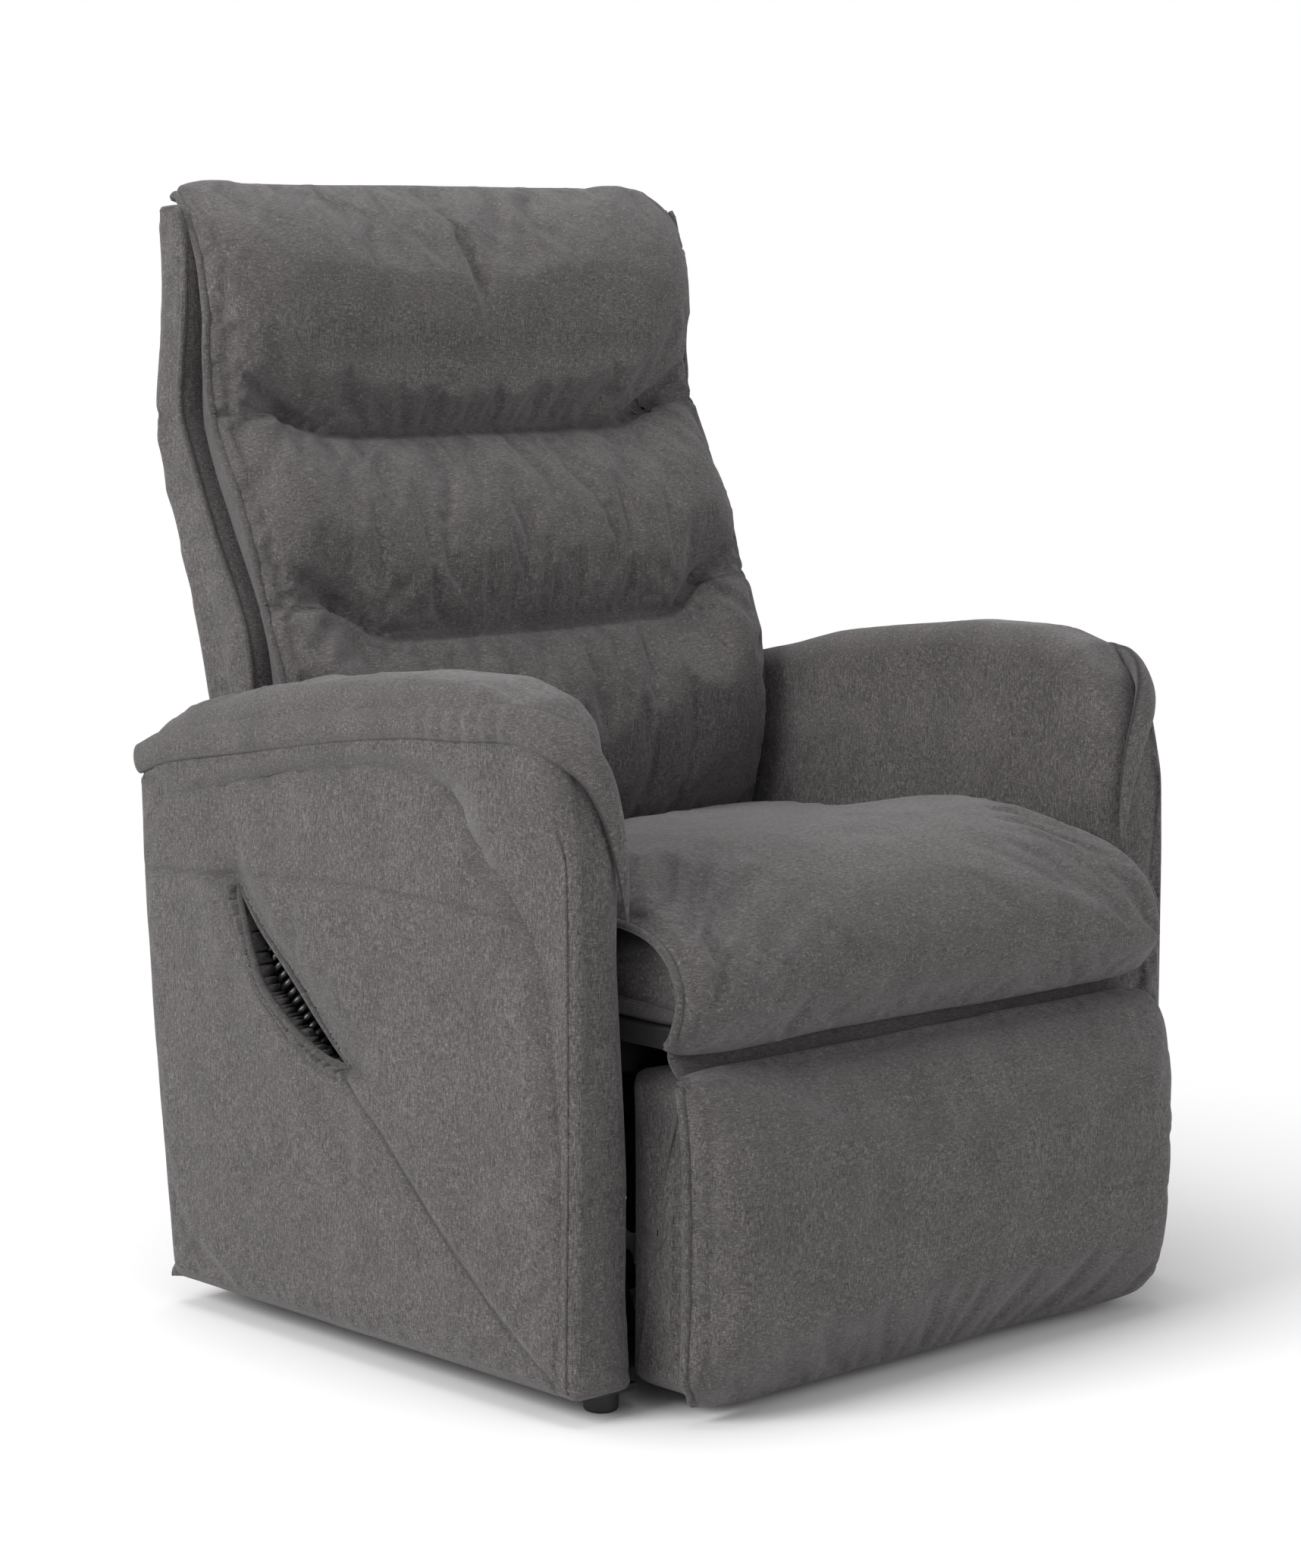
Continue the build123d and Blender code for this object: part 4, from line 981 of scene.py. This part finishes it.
def back_cushion():
    """One sewn cushion in three rolls, head, middle and lower, that folds over the top of the shell."""
    rows = int(length_of(BACK_WELT) / BACK_GRID)
    columns = int(2 * SEAT_HALF / 0.0066)
    welt = through(BACK_WELT, rows)
    tangent = np.gradient(welt, axis=0)
    tangent /= np.linalg.norm(tangent, axis=1, keepdims=True)
    front = np.column_stack([-tangent[:, 1], tangent[:, 0]])
    x = np.linspace(-SEAT_HALF, SEAT_HALF, columns)
    rise = 1 - edge_drop(x, SEAT_HALF, 0.078)[None, :]
    tuck = np.ones((rows, columns))
    held = np.zeros((rows, columns))
    along = np.arange(rows)[:, None] * BACK_GRID
    inner = (1 - ease(np.abs(x), 0.235, 0.300))[None, :]
    for end, middle in CREASES:
        at = np.interp(crease_height(x, end, middle), welt[:, 1], along[:, 0])[None, :]
        away = np.abs(along - at)
        roll = quarter_round(away / 0.075)
        tuck = tuck * (1 - (1 - roll) * (0.30 + 0.55 * inner))
        held = np.maximum(held, (away < 0.0045) * (0.25 + 0.75 * inner))
    top = ease(along, along[-1] - 0.10, along[-1])
    lift = BACK_DEPTH * rise * tuck * (1 - 0.5 * top)
    flat = welt[:, None] + front[:, None] * lift[..., None]
    narrow = 1 - 0.03 * ease(along, along[-1] - 0.07, along[-1]) ** 2
    grid = np.dstack([x[None, :] * narrow, flat])
    held[:, :1] = held[:, -1:] = 1
    held[:1] = held[-2:] = 1
    grid = finer(blow_grid(grid, held, (0, -1, 0.3), pressure=4.0, cap=0.018, slack=0.05))
    rows, columns = grid.shape[:2]
    normal = outward(grid)
    if normal.reshape(-1, 3).mean(axis=0)[1] > 0:
        normal = -normal
    x, z = grid[..., 0], grid[..., 2]
    here = np.dstack([x, z])
    on_front = (np.arange(rows) < rows * 0.86)[:, None]
    push = 0.0016 * rumple(grid, 0.12, 61) + 0.0008 * rumple(grid, 0.04, 62)
    seam = np.zeros((rows, columns))
    span = np.linspace(-SEAT_HALF, SEAT_HALF, 70)
    for end, middle in CREASES:
        gap = gap_to(here, np.column_stack([span, crease_height(span, end, middle)]))
        push -= 0.0030 * groove(gap, 0.0045)
        seam = np.maximum(seam, 0.55 * groove(gap, 0.0026))
        for side in (-1, 1):
            for (x0, z0), (x1, z1), deep in PLEATS:
                fold = through(((side * x0, end + z0), (side * (x0 + x1) / 2, end + (z0 + z1) / 2 + 0.003),
                                (side * x1, end + z1)), 12)
                push -= deep * groove(gap_to(here, fold), 0.0085)
    stitched = groove(SEAT_HALF - np.abs(x) - 0.010, 0.0022)
    push -= 0.0018 * stitched
    grid = grid + normal * (push * np.where(on_front, 1.0, 0.4))[..., None]
    rear = through(BACK_REAR, rows)
    base = np.dstack([x * 0.955, np.broadcast_to(rear[:, None], grid[..., 1:].shape)])
    hinge = ("back", "headrest", (0, 0.330, 0.845), (0, 0.330, 0.900))
    piece = pillow("back_cushion", grid, base, np.maximum(seam * on_front, 0.3 * stitched))
    place(piece, hinge, "lower_back_pad", "mid_back_pad", "head_pad", padded=0.8)
    edge_welts("back", grid, 2, hinge, radius=0.0042)


def back_cover():
    """The fabric shell behind the cushions, from the seat up to the headrest, with its side seams."""
    front = mm((266, 428), (252, 480), (246, 540), (243, 600), (250, 655), (268, 700), (304, 764),
               (339, 838), (356, 882), (353, 927), (346, 987), (346, 1046), (352, 1074), (362, 1083))
    rear = mm((299, 428), (312, 480), (322, 540), (331, 600), (345, 655), (358, 700), (374, 748),
              (394, 815), (403, 872), (400, 927), (396, 987), (394, 1046), (394, 1070), (392, 1080))
    rows = 96
    f, r = through(front, rows), through(rear, rows)
    loops = []
    for a, b in zip(f, r):
        depth = b[0] - a[0]
        section = np.array([(-SHELL_HALF, a[0]), (SHELL_HALF, a[0]), (SHELL_HALF, b[0]),
                            (-SHELL_HALF, b[0])])
        ring = rounded(section, 0.011, 0.014) if depth > 0.02 else rounded(section, 0.011, 0.008)
        share = evenly(np.vstack([ring, ring[:1]]), 141)[:-1]
        slope = (share[:, 1] - a[0]) / max(depth, 1e-6)
        loops.append(np.column_stack([share, a[1] + (b[1] - a[1]) * slope]))
    grid, faces = drum(loops)
    held = np.zeros(grid.shape[:2])
    held[:8] = held[-8:] = 1
    front_y = np.interp(grid[..., 2], f[:, 1], f[:, 0])
    held[grid[..., 1] < front_y + 0.012] = 1
    grid = finer(blow(grid, faces, held, pressure=1.6, cap=0.004, slack=0.01), wrap=True)
    x, y, z = grid[..., 0], grid[..., 1], grid[..., 2]
    push = 0.0012 * rumple(grid, 0.1, 71) + 0.0006 * rumple(grid, 0.03, 72)
    rear_y = np.interp(z, r[:, 1], r[:, 0])
    on_rear = y > rear_y - 0.012
    corner = groove(SHELL_HALF - 0.022 - np.abs(x), 0.0045)
    belt = groove(z - 0.876, 0.005)
    line = np.maximum(corner, belt) * on_rear
    grid[..., 1] -= 0.0030 * line
    grid = grid + (push * 0.5)[..., None] * [1, 1, 0]
    piece = make_mesh("back_cover", grid, ring_faces(grid), 0.6 * line)
    hinge = ("back", "headrest", (0, 0.36, 0.845), (0, 0.36, 0.900))
    place(piece, hinge, "back_shell", "head_shell", padded=0.4)
    for side in (-1, 1):
        line = np.column_stack([np.full(rows, side * (SHELL_HALF - 0.001)), f + mm((3, 0))])
        welt = tube("shell_welt_right" if side < 0 else "shell_welt_left", line[1:-1], 0.0034)
        place(welt, hinge, material=PIPING, padded=0.8)


def rear_skirt():
    """The rear fabric panel between the arms, from near the floor up to the seat's back edge."""
    y = 0.3125
    rows, columns = 66, 110
    x = np.linspace(-0.318, 0.318, columns)
    z = np.linspace(0.027, 0.360, rows)
    flat = np.dstack(np.meshgrid(x, z))
    gap = border_gap(flat)
    lift = quarter_round(gap / 0.008)
    face = np.dstack([flat[..., 0], y + 0.001 + 0.005 * lift, flat[..., 1]])
    face[..., 1] += 0.0012 * rumple(face, 0.09, 81) * ease(gap, 0, 0.03)
    back = np.dstack([flat[..., 0], np.full(gap.shape, y - 0.006), flat[..., 1]])
    hem = groove(flat[..., 1] - 0.047, 0.002)
    face[..., 1] -= 0.001 * hem
    place(pillow("rear_skirt_panel", face, back, 0.4 * hem), "chassis", "rear_valance", padded=0.3)


def rear_flap():
    """Loose cloth that closes the gap between the rear panel and the back's shell."""
    line = through(mm((316, 352), (318, 372), (312, 395), (306, 415), (303, 437)), 22)
    x = np.linspace(-0.300, 0.300, 90)
    face = np.array([[(a, y, z) for a in x] for y, z in line])
    fold = 0.0035 * np.sin(x * 47)[None, :] * np.sin(np.linspace(0, math.pi, 22))[:, None]
    face[..., 1] += fold + 0.001 * rumple(face, 0.03, 91)
    back = face - np.array([0, 0.003, 0])
    place(pillow("rear_flap", face, back), ("chassis", "back", (0, 0.316, 0.362), (0, 0.304, 0.428)),
          padded=0.1)


# ------------------------------------------------------------------ the whole chair
finish_cad_nodes()
set_camera()
set_lights()
make_floor()
make_cord()
make_arms()
slit_lips()
seat_cushion()
footrest_cushion()
make_seat_box()
hinge_cloth()
back_cushion()
back_cover()
rear_skirt()
rear_flap()
